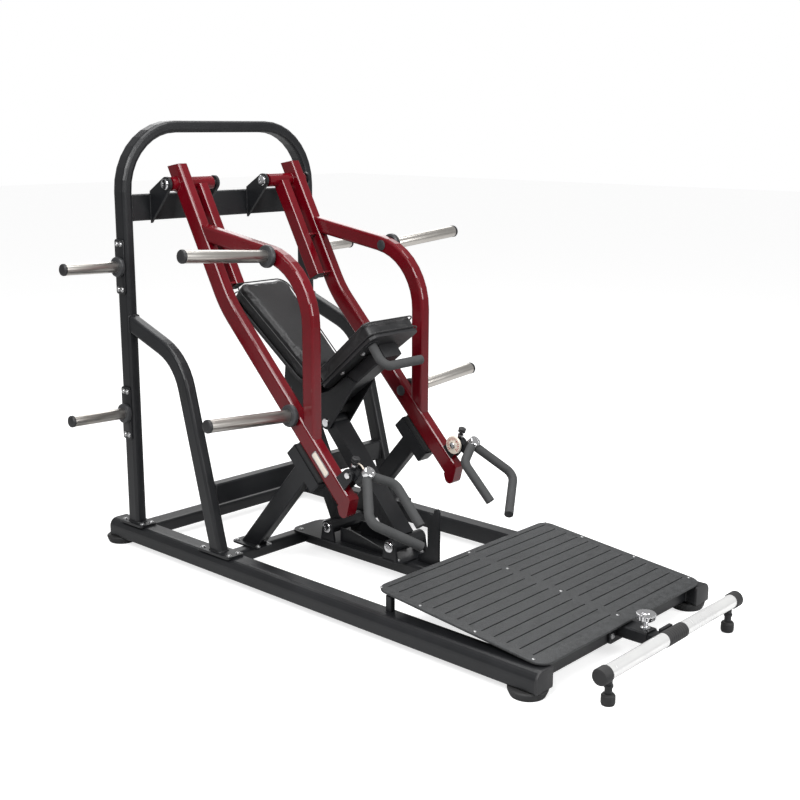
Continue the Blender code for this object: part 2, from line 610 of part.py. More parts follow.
# ---- adjustable handles ----
def build_handle(arm_hinge, name, sign, lower_arm):
    axis_point = lower_arm(TILT_ALONG, TILT_ABOVE)
    along, above = direction(lower_arm), direction(lower_arm, 1.0)
    outward = Y_AXIS * sign
    middle = axis_point + outward * ARM_Y

    base = [(TILT_ALONG + offset, ARM_DEPTH / 2 + GAP) for offset in (-0.030, 0.030)]
    outline = hull(base + circle((TILT_ALONG, TILT_ABOVE), 0.026))
    lug_offset = HUB_HALF + GAP + LUG / 2
    pieces = []
    for offset in (-lug_offset, lug_offset):
        centre = lower_arm(0, 0, sign * (ARM_Y + offset))
        pieces.append(drawn(add_plate, outline, centre, along, above, LUG))
    pin_ends = (-lug_offset - LUG / 2 - 0.004, lug_offset + LUG / 2 + 0.004)
    pieces.append(drawn(add_turned, [(end, HUB_PIN) for end in pin_ends], middle, outward, 16))
    disc = ((0, DISC_RADIUS), (0.007, DISC_RADIUS), (0.009, DISC_RADIUS - 0.004))
    start = middle - outward * (lug_offset + LUG / 2 - 0.001)
    pieces.append(drawn(add_turned, disc, start, -outward, 28))
    weld(f"handle_{name}_mount", pieces, "cream", arm_hinge)

    tilt = add_empty(f"handle_{name}_tilt", middle, arm_hinge)
    barrel = drawn(add_turned, [(end, 0.024) for end in (-HUB_HALF, HUB_HALF)], middle, outward, 20)
    foot_above, top_above = TILT_ABOVE + 0.008, GRIP_ABOVE - 0.026
    neck = [(TILT_ALONG, TILT_ABOVE - 0.012), (TILT_ALONG - 0.012, TILT_ABOVE + 0.022)]
    neck += [(SWIVEL_ALONG, foot_above + 0.002), (SWIVEL_ALONG, top_above - 0.002)]
    neck = drawn(add_plate, hull(neck), lower_arm(0, 0, sign * ARM_Y), along, above, 0.026)
    foot = lower_arm(SWIVEL_ALONG, foot_above, sign * SWIVEL_Y)
    seat = drawn(add_turned, ((0, 0.020), (top_above - foot_above, 0.024)), foot, above, 20)
    pin_axis = (above * 0.88 - along * 0.475).normalized()
    guide = drawn(add_turned, ((0.010, 0.011), (PIN_GUIDE, 0.011)), middle, pin_axis, 12)
    sizes = [(end, HUB_PIN + GAP) for end in (-HUB_HALF - 0.005, HUB_HALF + 0.005)]
    bore = drawn(add_turned, sizes, middle, outward, 16)
    weld(f"handle_{name}_hub", [barrel, neck, seat, guide], "frame", tilt, [bore])

    pull = add_empty(f"handle_{name}_pin", middle + pin_axis * PIN_GUIDE, tilt)
    knob = ((GAP, 0.006), (0.010, 0.006), (0.012, 0.015), (0.020, 0.017), (0.028, 0.010))
    bm = drawn(add_turned, knob, stations[pull.name], pin_axis, 16)
    make_object(f"handle_{name}_pull_knob", bm, "plastic", pull)

    swivel_point = lower_arm(SWIVEL_ALONG, GRIP_ABOVE, sign * SWIVEL_Y)
    swivel = add_empty(f"handle_{name}_swivel", swivel_point, tilt)
    boss = ((-0.0255, 0.025), (0.022, 0.025), (0.0222, 0.0225), (0.027, 0.0215), (0.029, 0.017))
    pieces = [drawn(add_turned, boss, swivel_point, above, 20)]
    for corner, end in GRIP_ROUTES:
        points = [Vector((*corner, 0)).normalized() * 0.012, Vector((*corner, 0)), Vector((*end, 0))]
        places = [(SWIVEL_ALONG + point.x, SWIVEL_Y + point.y) for point in points]
        route = [lower_arm(run, GRIP_ABOVE, sign * across) for run, across in places]
        section = round_section(GRIP_RADIUS, None, 12)
        pieces.append(drawn(add_tube, bend(route, 0.045, 4), above, section))
    weld(f"handle_{name}_grips", pieces, "grip", swivel)


# ---- seat linkage ----
def build_linkage_base(machine):
    low = CROSS_TOP + GAP
    outline = rounded_rectangle(0.650, 0.200, 0.045)
    centre = Vector((0.995, 0, (low + BASE_PLATE_TOP) / 2))
    pieces = [drawn(add_plate, outline, centre, X_AXIS, Y_AXIS, BASE_PLATE_TOP - low)]
    base = BASE_PLATE_TOP - 0.002
    for pivot in (REAR_BASE, FRONT_BASE):
        feet = [(pivot.x - 0.040, base), (pivot.x + 0.040, base)]
        outline = hull(feet + circle(flat(pivot), BARREL_RADIUS, 20))
        hole = (*flat(pivot), LINK_AXLE_RADIUS + GAP)
        for sign in (-1, 1):
            middle = Y_AXIS * sign * SADDLE_Y
            pieces.append(drawn(add_plate, outline, middle, X_AXIS, Z_AXIS, SADDLE, [hole]))
    rear, front = REAR_BASE.x + 0.048, FRONT_BASE.x - 0.048
    rib = [(rear, base), (front, base), (front, base + 0.022), (rear + 0.066, base + 0.062)]
    rib += [(rear, base + 0.062)]
    for sign in (-1, 1):
        pieces.append(drawn(add_plate, rib, Y_AXIS * sign * 0.062, X_AXIS, Z_AXIS, 0.006))
    weld("linkage_base", pieces, "frame", machine)
    outer = SADDLE_Y + SADDLE / 2
    for name, pivot in (("rear", REAR_BASE), ("front", FRONT_BASE)):
        size = (2 * outer, LINK_AXLE_RADIUS, 0.0225)
        bm = drawn(add_axle, pivot - Y_AXIS * outer, Y_AXIS, *size)
        make_object(f"link_axle_{name}", bm, "chrome", machine)


def build_link(name, low, high, width, depth, top_bore, parent):
    """A channel, open at the rear, between a wide lower barrel and a narrow upper one."""
    axis = (high - low).normalized()
    ends = (low + axis * (BARREL_RADIUS - 0.006), high - axis * (TOP_BARREL_RADIUS - 0.005))
    half_w, half_d, wall = width / 2, depth / 2, 0.005
    channel = [(-half_w, -half_d), (half_w, -half_d), (half_w, half_d), (half_w - wall, half_d)]
    channel += [(half_w - wall, wall - half_d), (wall - half_w, wall - half_d)]
    channel += [(wall - half_w, half_d), (-half_w, half_d)]
    pieces = [drawn(add_tube, list(ends), Y_AXIS, (channel, None))]
    bores = []
    barrels = ((low, BARREL_HALF, BARREL_RADIUS, LINK_AXLE_RADIUS + GAP),)
    barrels += ((high, CARRIAGE_HALF - 0.001, TOP_BARREL_RADIUS, top_bore),)
    for pivot, half, radius, bore in barrels:
        start = pivot - Y_AXIS * half
        pieces.append(drawn(add_turned, ((0, radius), (2 * half, radius)), start, Y_AXIS, 20))
        sizes = ((-0.005, bore), (2 * half + 0.005, bore))
        bores.append(drawn(add_turned, sizes, start, Y_AXIS, 20))
    weld(name, pieces, "frame", parent, bores)


def build_seat(machine):
    front = add_empty("front_link_hinge", FRONT_BASE, machine)
    rear = add_empty("rear_link_hinge", REAR_BASE, machine)
    carriage = add_empty("seat_carriage_hinge", FRONT_TOP, front)
    build_link("front_link", FRONT_BASE, FRONT_TOP, 0.090, 0.055, LINK_AXLE_RADIUS + GAP, front)
    build_link("rear_link", REAR_BASE, REAR_TOP, 0.080, 0.050, OPEN_BORE, rear)

    seat, back = inclined(SEAT_VERTEX, SEAT_TILT), inclined(SEAT_VERTEX, BACK_TILT)
    start = 0.006
    corners = [(start, -BACK_BOTTOM_HALF), (SEAT_LENGTH, -SEAT_HALF_WIDTH)]
    corners += [(SEAT_LENGTH, SEAT_HALF_WIDTH), (start, BACK_BOTTOM_HALF)]
    seat_outline = rounded_outline(corners, 0.035, 4)
    corners = [(-BACK_LENGTH, -BACK_TOP_HALF), (-start, -BACK_BOTTOM_HALF)]
    corners += [(-start, BACK_BOTTOM_HALF), (-BACK_LENGTH, BACK_TOP_HALF)]
    back_outline = rounded_outline(corners, 0.050, 4)
    pads = (("seat", seat, seat_outline, SEAT_THICKNESS), ("back", back, back_outline, BACK_THICKNESS))
    for name, place, outline, thickness in pads:
        bm = drawn(add_plate, outline, place(0, -thickness / 2), direction(place), Y_AXIS, thickness)
        make_object(f"{name}_cushion", bm, "leatherette", carriage)
        centre = place(0, -thickness - GAP - BOARD / 2)
        inset = [(a * 0.97 + (0.006 if a > 0 else -0.006), b * 0.96) for a, b in outline]
        bm = drawn(add_plate, inset, centre, direction(place), Y_AXIS, BOARD)
        make_object(f"{name}_board", bm, "plastic", carriage)

    under_seat = -SEAT_THICKNESS - BOARD - 2 * GAP
    under_back = -BACK_THICKNESS - BOARD - 2 * GAP
    width = 2 * CARRIAGE_HALF + 0.002
    profile = box_section(width, SEAT_ARM_DEPTH, [0.006] * 4, TUBE_WALL)
    height = under_seat - SEAT_ARM_DEPTH / 2
    route = [seat(end, height) for end in (-0.066, SEAT_ARM_LENGTH)]
    pieces = [drawn(add_tube, route, Y_AXIS, profile)]
    profile = box_section(width, SPINE_DEPTH, [0.006] * 4, TUBE_WALL)
    route = [back(end, under_back - SPINE_DEPTH / 2) for end in (-0.440, -0.060)]
    pieces.append(drawn(add_tube, route, Y_AXIS, profile))
    ring = circle(flat(FRONT_TOP), 0.030, 20) + circle(flat(REAR_TOP), 0.028, 20)
    seat_front, back_rear = flat(seat(0.120, under_seat - 0.012)), flat(back(-0.200, under_back - 0.010))
    below = flat(seat(0.150, under_seat - SEAT_ARM_DEPTH))
    cheek = hull(ring + [seat_front, back_rear, below])
    notch = [flat(seat(0.010, under_seat - 0.012)), (SEAT_VERTEX.x, SEAT_VERTEX.z - 0.088)]
    notch.append(flat(back(-0.035, under_back - 0.012)))
    corner = min(range(len(cheek)), key=lambda index: math.dist(cheek[index], seat_front))
    cheek[corner + 1 : corner + 1] = notch
    for sign in (-1, 1):
        middle = Y_AXIS * sign * (CARRIAGE_HALF + CARRIAGE_PLATE / 2)
        pieces.append(drawn(add_plate, cheek, middle, X_AXIS, Z_AXIS, CARRIAGE_PLATE))
    reach = CARRIAGE_HALF + CARRIAGE_PLATE + 0.004
    for pivot, radius in ((FRONT_TOP, LINK_AXLE_RADIUS), (REAR_TOP, OPEN_PIN)):
        sizes = ((-reach, radius), (reach, radius))
        pieces.append(drawn(add_turned, sizes, pivot, Y_AXIS, 16))
    weld("carriage_frame", pieces, "frame", carriage)

    leg, low = 0.365, under_seat - 0.105
    corners = [seat(leg, under_seat - GAP, -0.100), seat(leg, low, -0.100), seat(leg, low, 0.120)]
    section = round_section(GRIP_RADIUS, None, 14)
    bm = drawn(add_tube, bend(corners, 0.045, 5), direction(seat), section)
    make_object("seat_handle", bm, "grip", carriage)


# ---- hook post ----
def build_hook(machine):
    base = CROSS_TOP + GAP
    outline = [(1.336, base), (1.443, base), (1.443, 0.318), (1.434, 0.331), (1.420, 0.326)]
    outline += [(1.416, 0.306), (1.404, 0.300), (1.392, 0.306), (1.385, 0.296), (1.385, 0.165)]
    outline += [(1.372, 0.138), (1.336, 0.118)]
    bm = drawn(add_plate, outline, Vector((0, 0, 0)), X_AXIS, Z_AXIS, 0.012)
    make_object("hook_post", bm, "frame", machine)


# ---- standing platform ----
def deck_plane():
    """The deck's slanted top line, from its rear edge, and its length."""
    slope = math.degrees(math.atan2(DECK_FRONT_TOP - DECK_REAR_TOP, DECK_FRONT - DECK_REAR))
    deck = inclined(Vector((DECK_REAR, 0, DECK_REAR_TOP)), slope)
    return deck, (DECK_FRONT - DECK_REAR) / math.cos(math.radians(slope))


def build_platform(machine):
    deck, length = deck_plane()
    corners = [(0, -DECK_HALF), (length, -DECK_HALF), (length, DECK_HALF), (0, DECK_HALF)]
    outline = rounded_outline(corners, DECK_CORNER, 5)
    along, normal = direction(deck), direction(deck, 1.0)
    bm = drawn(add_plate, outline, deck(0, -DECK_THICKNESS / 2), along, Y_AXIS, DECK_THICKNESS)
    make_object("platform_deck", bm, "deck", machine)

    height = -DECK_THICKNESS - GAP - BEARER / 2
    runs, spans = (0.040, 0.630), (0.052, 0.335, 0.618)
    section = box_section(0.008, BEARER, [0.001] * 4)
    pieces = []
    for y in (-BEARER_Y, BEARER_Y):
        route = [deck(run, height, y) for run in runs]
        pieces.append(drawn(add_tube, route, Y_AXIS, section))
    for run in spans:
        reach = PAD_Y if run == spans[0] else BEARER_Y
        route = [deck(run, height - 0.0005, y) for y in (-reach, reach)]
        section = box_section(0.008, BEARER - 0.002, [0.001] * 4)
        pieces.append(drawn(add_tube, route, along, section))
    posts = [(run, y, CROSS_TOP) for run in spans[:2] for y in (-0.035, 0.035)]
    posts += [(spans[0], y, RAIL_TOP) for y in (-PAD_Y, PAD_Y)]
    section = box_section(0.026, 0.026, [0.003] * 4)
    for run, y, below in posts:
        foot = deck(run, 0, y)
        foot.z = below + GAP
        top = meet(inclined(foot, 90), deck(0, height), normal)
        pieces.append(drawn(add_tube, [foot, top], X_AXIS, section, (None, normal)))
    weld("platform_bearers", pieces, "frame", machine)


# ---- sliding foot bar ----
def build_foot_bar(machine):
    face = FRONT_CROSS_STATION + FRONT_CROSS_DEPTH / 2 + GAP
    flange = Vector((face + 0.004, 0, 0.066))
    outline = rounded_rectangle(0.150, 0.056, 0.010)
    pieces = [drawn(add_plate, outline, flange, Y_AXIS, Z_AXIS, 0.008)]
    profile = box_section(RECEIVER_WIDTH, RECEIVER_HEIGHT, [0.005] * 4, 0.004)
    ends = (face + 0.006, RECEIVER_FRONT)
    route = [Vector((end, 0, RECEIVER_CENTRE)) for end in ends]
    pieces.append(drawn(add_tube, route, Y_AXIS, profile))
    weld("foot_bar_receiver", pieces, "frame", machine)

    front = Vector((RECEIVER_FRONT, 0, RECEIVER_CENTRE))
    slide = add_empty("foot_bar_slide", front, machine)
    centre = Vector((BAR_STATION, 0, BAR_HEIGHT))
    tube_end = BAR_HALF - BAR_CAP
    route = [centre + Y_AXIS * end for end in (-tube_end, tube_end)]
    pieces = [drawn(add_tube, route, X_AXIS, round_section(BAR_RADIUS, BAR_RADIUS - 0.003, 24))]
    inner = box_section(0.060, 0.036, [0.004] * 4, TUBE_WALL)
    bar_back = BAR_STATION - BAR_RADIUS
    route = [Vector((end, 0, RECEIVER_CENTRE)) for end in (face + 0.040, bar_back - 0.006)]
    pieces.append(drawn(add_tube, route, Y_AXIS, inner))
    pieces.append(drawn(add_box, (bar_back - 0.010, -0.034, 0.062), (bar_back + 0.002, 0.034, 0.136)))
    for sign in (-1, 1):
        y = sign * BAR_LEG_Y
        pad = ((0, 0.020), (0.008, 0.024), (0.034, 0.024), (0.040, 0.018), (0.040, 0.013))
        leg = (*pad, (BAR_HEIGHT - BAR_RADIUS + 0.002, 0.013))
        pieces.append(drawn(add_turned, leg, Vector((BAR_STATION, y, 0)), Z_AXIS, 16))
        route = [centre + Y_AXIS * sign * end for end in (tube_end - 0.002, BAR_HALF)]
        section = round_section(BAR_RADIUS + 0.004, BAR_RADIUS - 0.0045, 24)
        pieces.append(drawn(add_tube, route, X_AXIS, section))
    weld("foot_bar", pieces, "chrome", slide)

    top = Vector((KNOB_STATION, 0, RECEIVER_CENTRE + RECEIVER_HEIGHT / 2 + GAP))
    turn = add_empty("foot_bar_knob_axis", top, machine)
    profile = ((0, 0.018), (0.005, 0.018), (0.005, 0.009), (0.036, 0.009), (0.038, 0.030))
    profile += ((0.042, 0.0375), (0.058, 0.0375), (0.063, 0.030))
    make_object("foot_bar_knob", drawn(add_turned, profile, top, Z_AXIS, 28), "chrome", turn)


def main():
    clear_scene()
    machine = add_empty("machine", Vector((0, 0, 0)))
    upper_arm, lower_arm = inclined(ARM_CORNER, ARM_UPPER_TILT), inclined(ARM_CORNER, ARM_LOWER_TILT)
    build_base(machine)
    build_uprights(machine)
    build_storage(machine)
    build_stops(machine, lower_arm)
    for name, sign in SIDES:
        build_arm(machine, name, sign, upper_arm, lower_arm)
    build_linkage_base(machine)
    build_seat(machine)
    build_hook(machine)
    build_platform(machine)
    build_foot_bar(machine)


main()
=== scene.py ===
import math

import bmesh
import bpy
from mathutils import Matrix, Quaternion, Vector


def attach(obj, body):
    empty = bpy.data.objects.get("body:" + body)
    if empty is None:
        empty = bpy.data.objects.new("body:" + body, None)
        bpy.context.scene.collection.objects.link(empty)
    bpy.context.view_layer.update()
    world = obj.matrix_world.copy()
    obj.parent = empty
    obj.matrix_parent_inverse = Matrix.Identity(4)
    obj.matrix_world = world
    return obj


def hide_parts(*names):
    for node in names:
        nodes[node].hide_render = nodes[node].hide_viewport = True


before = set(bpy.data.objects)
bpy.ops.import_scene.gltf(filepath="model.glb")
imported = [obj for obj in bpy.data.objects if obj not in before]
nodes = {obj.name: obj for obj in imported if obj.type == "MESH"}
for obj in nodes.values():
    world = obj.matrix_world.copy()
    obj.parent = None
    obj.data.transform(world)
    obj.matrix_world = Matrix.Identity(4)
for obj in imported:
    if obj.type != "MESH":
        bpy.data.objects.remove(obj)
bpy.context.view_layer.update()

rearEnd = -1.242  # where the base rails start; lengths along the machine count from there
sides = (("left", -1), ("right", 1))
alongAxis, acrossAxis, upAxis = Vector((1, 0, 0)), Vector((0, 1, 0)), Vector((0, 0, 1))
print("frame loaded:", len(nodes), "nodes")


# small tools for the modelling below

def letGo():
    if bpy.context.object and bpy.context.object.mode != "OBJECT":
        bpy.ops.object.mode_set(mode="OBJECT")
    bpy.ops.object.select_all(action="DESELECT")


def pick(*pieces):
    letGo()
    for piece in pieces:
        piece.select_set(True)
    bpy.context.view_layer.objects.active = pieces[0]


def spot(station, y, z):
    return Vector((rearEnd + station, y, z))


def slopeFrame(station, height, degrees):
    # a matrix whose X runs along a slanted part, Y across the machine and Z square to the part
    return Matrix.Translation(spot(station, 0, height)) @ Matrix.Rotation(-math.radians(degrees), 4, "Y")


def standing(place, axis):
    # turns a piece modelled upright so that it stands along an axis
    return Matrix.Translation(place) @ upAxis.rotation_difference(Vector(axis)).to_matrix().to_4x4()


def applyAll(piece):
    pick(piece)
    for modifier in list(piece.modifiers):
        bpy.ops.object.modifier_apply(modifier=modifier.name)
    bpy.ops.object.transform_apply(location=True, rotation=True, scale=True)


def selectEdges(piece, wanted):
    # in edit mode: only the edges that pass the test stay selected
    mesh = bmesh.from_edit_mesh(piece.data)
    bpy.ops.mesh.select_mode(type="EDGE")
    bpy.ops.mesh.select_all(action="DESELECT")
    for edge in mesh.edges:
        edge.select_set(bool(wanted(edge.verts[0].co, edge.verts[1].co)))
    bmesh.update_edit_mesh(piece.data)


def selectFaces(piece, wanted):
    mesh = bmesh.from_edit_mesh(piece.data)
    bpy.ops.mesh.select_mode(type="FACE")
    bpy.ops.mesh.select_all(action="DESELECT")
    for face in mesh.faces:
        face.select_set(bool(wanted(face)))
    bmesh.update_edit_mesh(piece.data)


def tidyNormals(piece):
    pick(piece)
    bpy.ops.object.mode_set(mode="EDIT")
    bpy.ops.mesh.select_all(action="SELECT")
    bpy.ops.mesh.remove_doubles(threshold=0.00001)
    bpy.ops.mesh.normals_make_consistent(inside=False)
    bpy.ops.object.mode_set(mode="OBJECT")


def turned(name, profile, count=40, at=None):
    # a lathe-like piece: a disc extruded and resized step by step, (height, radius), then placed
    letGo()
    height, radius = profile[0]
    bpy.ops.mesh.primitive_circle_add(vertices=count, radius=radius, fill_type="NGON", location=(0, 0, height))
    piece = bpy.context.object
    piece.name = name
    bpy.ops.object.mode_set(mode="EDIT")
    bpy.ops.mesh.select_all(action="SELECT")
    for (below, wide), (above, narrow) in zip(profile, profile[1:]):
        bpy.ops.mesh.extrude_region_move(TRANSFORM_OT_translate={"value": (0, 0, above - below)})
        bpy.ops.transform.resize(value=(narrow / wide, narrow / wide, 1), center_override=(0, 0, above))
    bpy.ops.object.mode_set(mode="OBJECT")
    applyAll(piece)
    tidyNormals(piece)
    if at:
        piece.data.transform(at)
    return piece


def block(name, size, corner=0.0, rim=0.0, steps=4, at=None):
    # a plate or block: upright edges rounded by corner, all rims by rim, then placed
    letGo()
    bpy.ops.mesh.primitive_cube_add(size=1, scale=size)
    piece = bpy.context.object
    piece.name = name
    applyAll(piece)
    bpy.ops.object.mode_set(mode="EDIT")
    if corner:
        selectEdges(piece, lambda a, b: abs(a.z - b.z) > size[2] * 0.9)
        bpy.ops.mesh.bevel(offset=corner, segments=steps, affect="EDGES")
    if rim:
        selectEdges(piece, lambda a, b: abs(a.z - b.z) < 0.000001)
        bpy.ops.mesh.bevel(offset=rim, segments=2, affect="EDGES")
    bpy.ops.object.mode_set(mode="OBJECT")
    if at:
        piece.data.transform(at)
    return piece


def rounded(points, radius, steps=8):
    # a route with its inner corners rounded
    route = [Vector(points[0])]
    for before, corner, after in zip(points, points[1:], points[2:]):
        corner = Vector(corner)
        back, ahead = (Vector(before) - corner).normalized(), (Vector(after) - corner).normalized()
        half = back.angle(ahead) / 2
        centre = corner + (back + ahead).normalized() * radius / math.sin(half)
        first = corner + back * radius / math.tan(half) - centre
        last = corner + ahead * radius / math.tan(half) - centre
        axis = first.cross(last).normalized()
        for step in range(steps + 1):
            route.append(centre + Quaternion(axis, (math.pi - 2 * half) * step / steps) @ first)
    return route + [Vector(points[-1])]


def rod(name, route, radius, closed=False, bumps=0.0, smoothness=5):
    # a round bar along a route, or a bumpy bead of weld
    letGo()
    bpy.ops.curve.primitive_bezier_curve_add()
    piece = bpy.context.object
    piece.name = name
    curve = piece.data
    curve.splines.clear()
    spline = curve.splines.new("POLY")
    spline.points.add(len(route) - 1)
    for index, (point, place) in enumerate(zip(spline.points, route)):
        point.co = (*place, 1)
        point.radius = 1 + bumps * math.sin(index * 2.4) + bumps * 0.5 * math.sin(index * 5.1 + 1)
    spline.use_cyclic_u = closed
    curve.bevel_depth = radius
    curve.bevel_resolution = smoothness
    curve.use_fill_caps = True
    bpy.ops.object.convert(target="MESH")
    piece = bpy.context.object
    applyAll(piece)
    tidyNormals(piece)
    return piece


def roundEnds(piece, rim, segments=3):
    # rounds the rims of a bar's flat ends
    pick(piece)
    bpy.ops.object.mode_set(mode="EDIT")
    selectFaces(piece, lambda face: len(face.verts) > 8)
    bpy.ops.mesh.bevel(offset=rim, segments=segments, affect="EDGES")
    bpy.ops.object.mode_set(mode="OBJECT")


def copyTo(source, name, matrix):
    piece = bpy.data.objects.new(name, source.data.copy())
    piece.data.transform(matrix)
    if matrix.determinant() < 0:
        piece.data.flip_normals()
    bpy.context.scene.collection.objects.link(piece)
    return piece


def joined(name, pieces):
    pick(*pieces)
    bpy.ops.object.join()
    piece = bpy.context.object
    piece.name = name
    return piece


def scatter(source, name, matrices):
    return joined(name, [copyTo(source, f"{name}{index}", matrix) for index, matrix in enumerate(matrices)])


def drop(*pieces):
    for piece in pieces:
        bpy.data.objects.remove(piece)


def done(piece, finish, body, angle=35):
    # the last step for every piece: smooth it, give it its finish and hang it on its body
    pick(piece)
    bpy.ops.object.shade_smooth_by_angle(angle=math.radians(angle))
    piece.data.materials.clear()
    piece.data.materials.append(finishes[finish])
    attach(piece, body)
    return piece


# shared effects, each a node group

def newGroup(name, inputs, outputs):
    tree = bpy.data.node_groups.new(name, "ShaderNodeTree")
    for label, value in inputs:
        tree.interface.new_socket(label, in_out="INPUT", socket_type="NodeSocketFloat").default_value = value
    for label in outputs:
        tree.interface.new_socket(label, in_out="OUTPUT", socket_type="NodeSocketFloat")
    place = add(tree, "TexCoord").outputs["Object"]
    return tree, tree.nodes.new("NodeGroupInput"), tree.nodes.new("NodeGroupOutput"), place


def add(tree, kind, **settings):
    node = tree.nodes.new("ShaderNode" + kind)
    for key, value in settings.items():
        if hasattr(node, key):
            setattr(node, key, value)
        else:
            node.inputs[key.replace("_", " ")].default_value = value
    return node


def maths(tree, operation, first, second=None, clamp=False):
    node = add(tree, "Math", operation=operation, use_clamp=clamp)
    for socket, value in zip(node.inputs, (first, second)):
        if value is None:
            continue
        if isinstance(value, (int, float)):
            socket.default_value = value
        else:
            tree.links.new(value, socket)
    return node.outputs[0]


def noiseAt(tree, place, scale, detail=3.0, roughness=0.5):
    node = add(tree, "TexNoise", Detail=detail, Roughness=roughness)
    tree.links.new(place, node.inputs["Vector"])
    if isinstance(scale, (int, float)):
        node.inputs["Scale"].default_value = scale
    else:
        tree.links.new(scale, node.inputs["Scale"])
    return node.outputs[0]


def makeGroups():
    made = {}

    def times(first, second, clamp=False):
        return maths(tree, "MULTIPLY", first, second, clamp)

    tree, start, end, place = newGroup("grain", (("Size", 900.0),), ("Height", "Mask"))
    fine = noiseAt(tree, place, start.outputs["Size"], 2.0)
    coarse = noiseAt(tree, place, times(start.outputs["Size"], 0.22), 2.0)
    tree.links.new(maths(tree, "ADD", fine, times(coarse, 0.6)), end.inputs["Height"])
    tree.links.new(fine, end.inputs["Mask"])
    made["grain"] = tree

    tree, start, end, place = newGroup("cloudiness", (("Size", 6.0),), ("Mask",))
    cloud = noiseAt(tree, place, start.outputs["Size"], 4.0, 0.6)
    spread = times(maths(tree, "SUBTRACT", cloud, 0.32), 2.6, True)
    tree.links.new(spread, end.inputs["Mask"])
    made["cloudiness"] = tree

    tree, start, end, place = newGroup("edge wear", (("Reach", 0.002), ("Amount", 0.5), ("Size", 40.0)),
        ("Mask",))
    bevel = add(tree, "Bevel", samples=4)
    tree.links.new(start.outputs["Reach"], bevel.inputs["Radius"])
    dot = add(tree, "VectorMath", operation="DOT_PRODUCT")
    tree.links.new(bevel.outputs[0], dot.inputs[0])
    tree.links.new(add(tree, "NewGeometry").outputs["Normal"], dot.inputs[1])
    turn = times(maths(tree, "SUBTRACT", 1.0, dot.outputs["Value"]), 6.0, True)
    patchy = times(maths(tree, "SUBTRACT", noiseAt(tree, place, start.outputs["Size"]), 0.42), 5.0, True)
    mask = times(times(turn, patchy), start.outputs["Amount"], True)
    tree.links.new(mask, end.inputs["Mask"])
    made["edge wear"] = tree

    tree, start, end, place = newGroup("dust", (("Amount", 0.3), ("Size", 18.0)), ("Mask",))
    split = add(tree, "SeparateXYZ")
    tree.links.new(add(tree, "NewGeometry").outputs["Normal"], split.inputs[0])
    upward = maths(tree, "POWER", maths(tree, "MAXIMUM", split.outputs["Z"], 0.0), 2.0)
    patchy = noiseAt(tree, place, start.outputs["Size"], 5.0, 0.65)
    mask = times(times(upward, patchy), start.outputs["Amount"], True)
    tree.links.new(mask, end.inputs["Mask"])
    made["dust"] = tree

    # rings left by a lathe, and scuffs along them, for round parts that lie across the machine
    tree, start, end, place = newGroup("turning marks", (("Size", 700.0),), ("Height", "Mask"))
    mapping = add(tree, "Mapping")
    mapping.inputs["Scale"].default_value = (0.02, 1.0, 0.02)
    tree.links.new(place, mapping.inputs["Vector"])
    rings = noiseAt(tree, mapping.outputs[0], start.outputs["Size"], 3.0, 0.6)
    wide = noiseAt(tree, mapping.outputs[0], times(start.outputs["Size"], 0.06), 2.0)
    tree.links.new(rings, end.inputs["Height"])
    tree.links.new(times(maths(tree, "ADD", rings, wide), 0.5), end.inputs["Mask"])
    made["turning marks"] = tree

    # pebbled leather
    tree, start, end, place = newGroup("leather grain", (("Size", 420.0),), ("Height", "Mask"))
    cells = add(tree, "TexVoronoi", feature="SMOOTH_F1", Smoothness=0.35)
    tree.links.new(place, cells.inputs["Vector"])
    tree.links.new(start.outputs["Size"], cells.inputs["Scale"])
    creases = noiseAt(tree, place, times(start.outputs["Size"], 0.12), 4.0)
    pebble = maths(tree, "SUBTRACT", 1.0, cells.outputs["Distance"])
    tree.links.new(maths(tree, "ADD", pebble, times(creases, 0.7)), end.inputs["Height"])
    tree.links.new(creases, end.inputs["Mask"])
    made["leather grain"] = tree
    return made


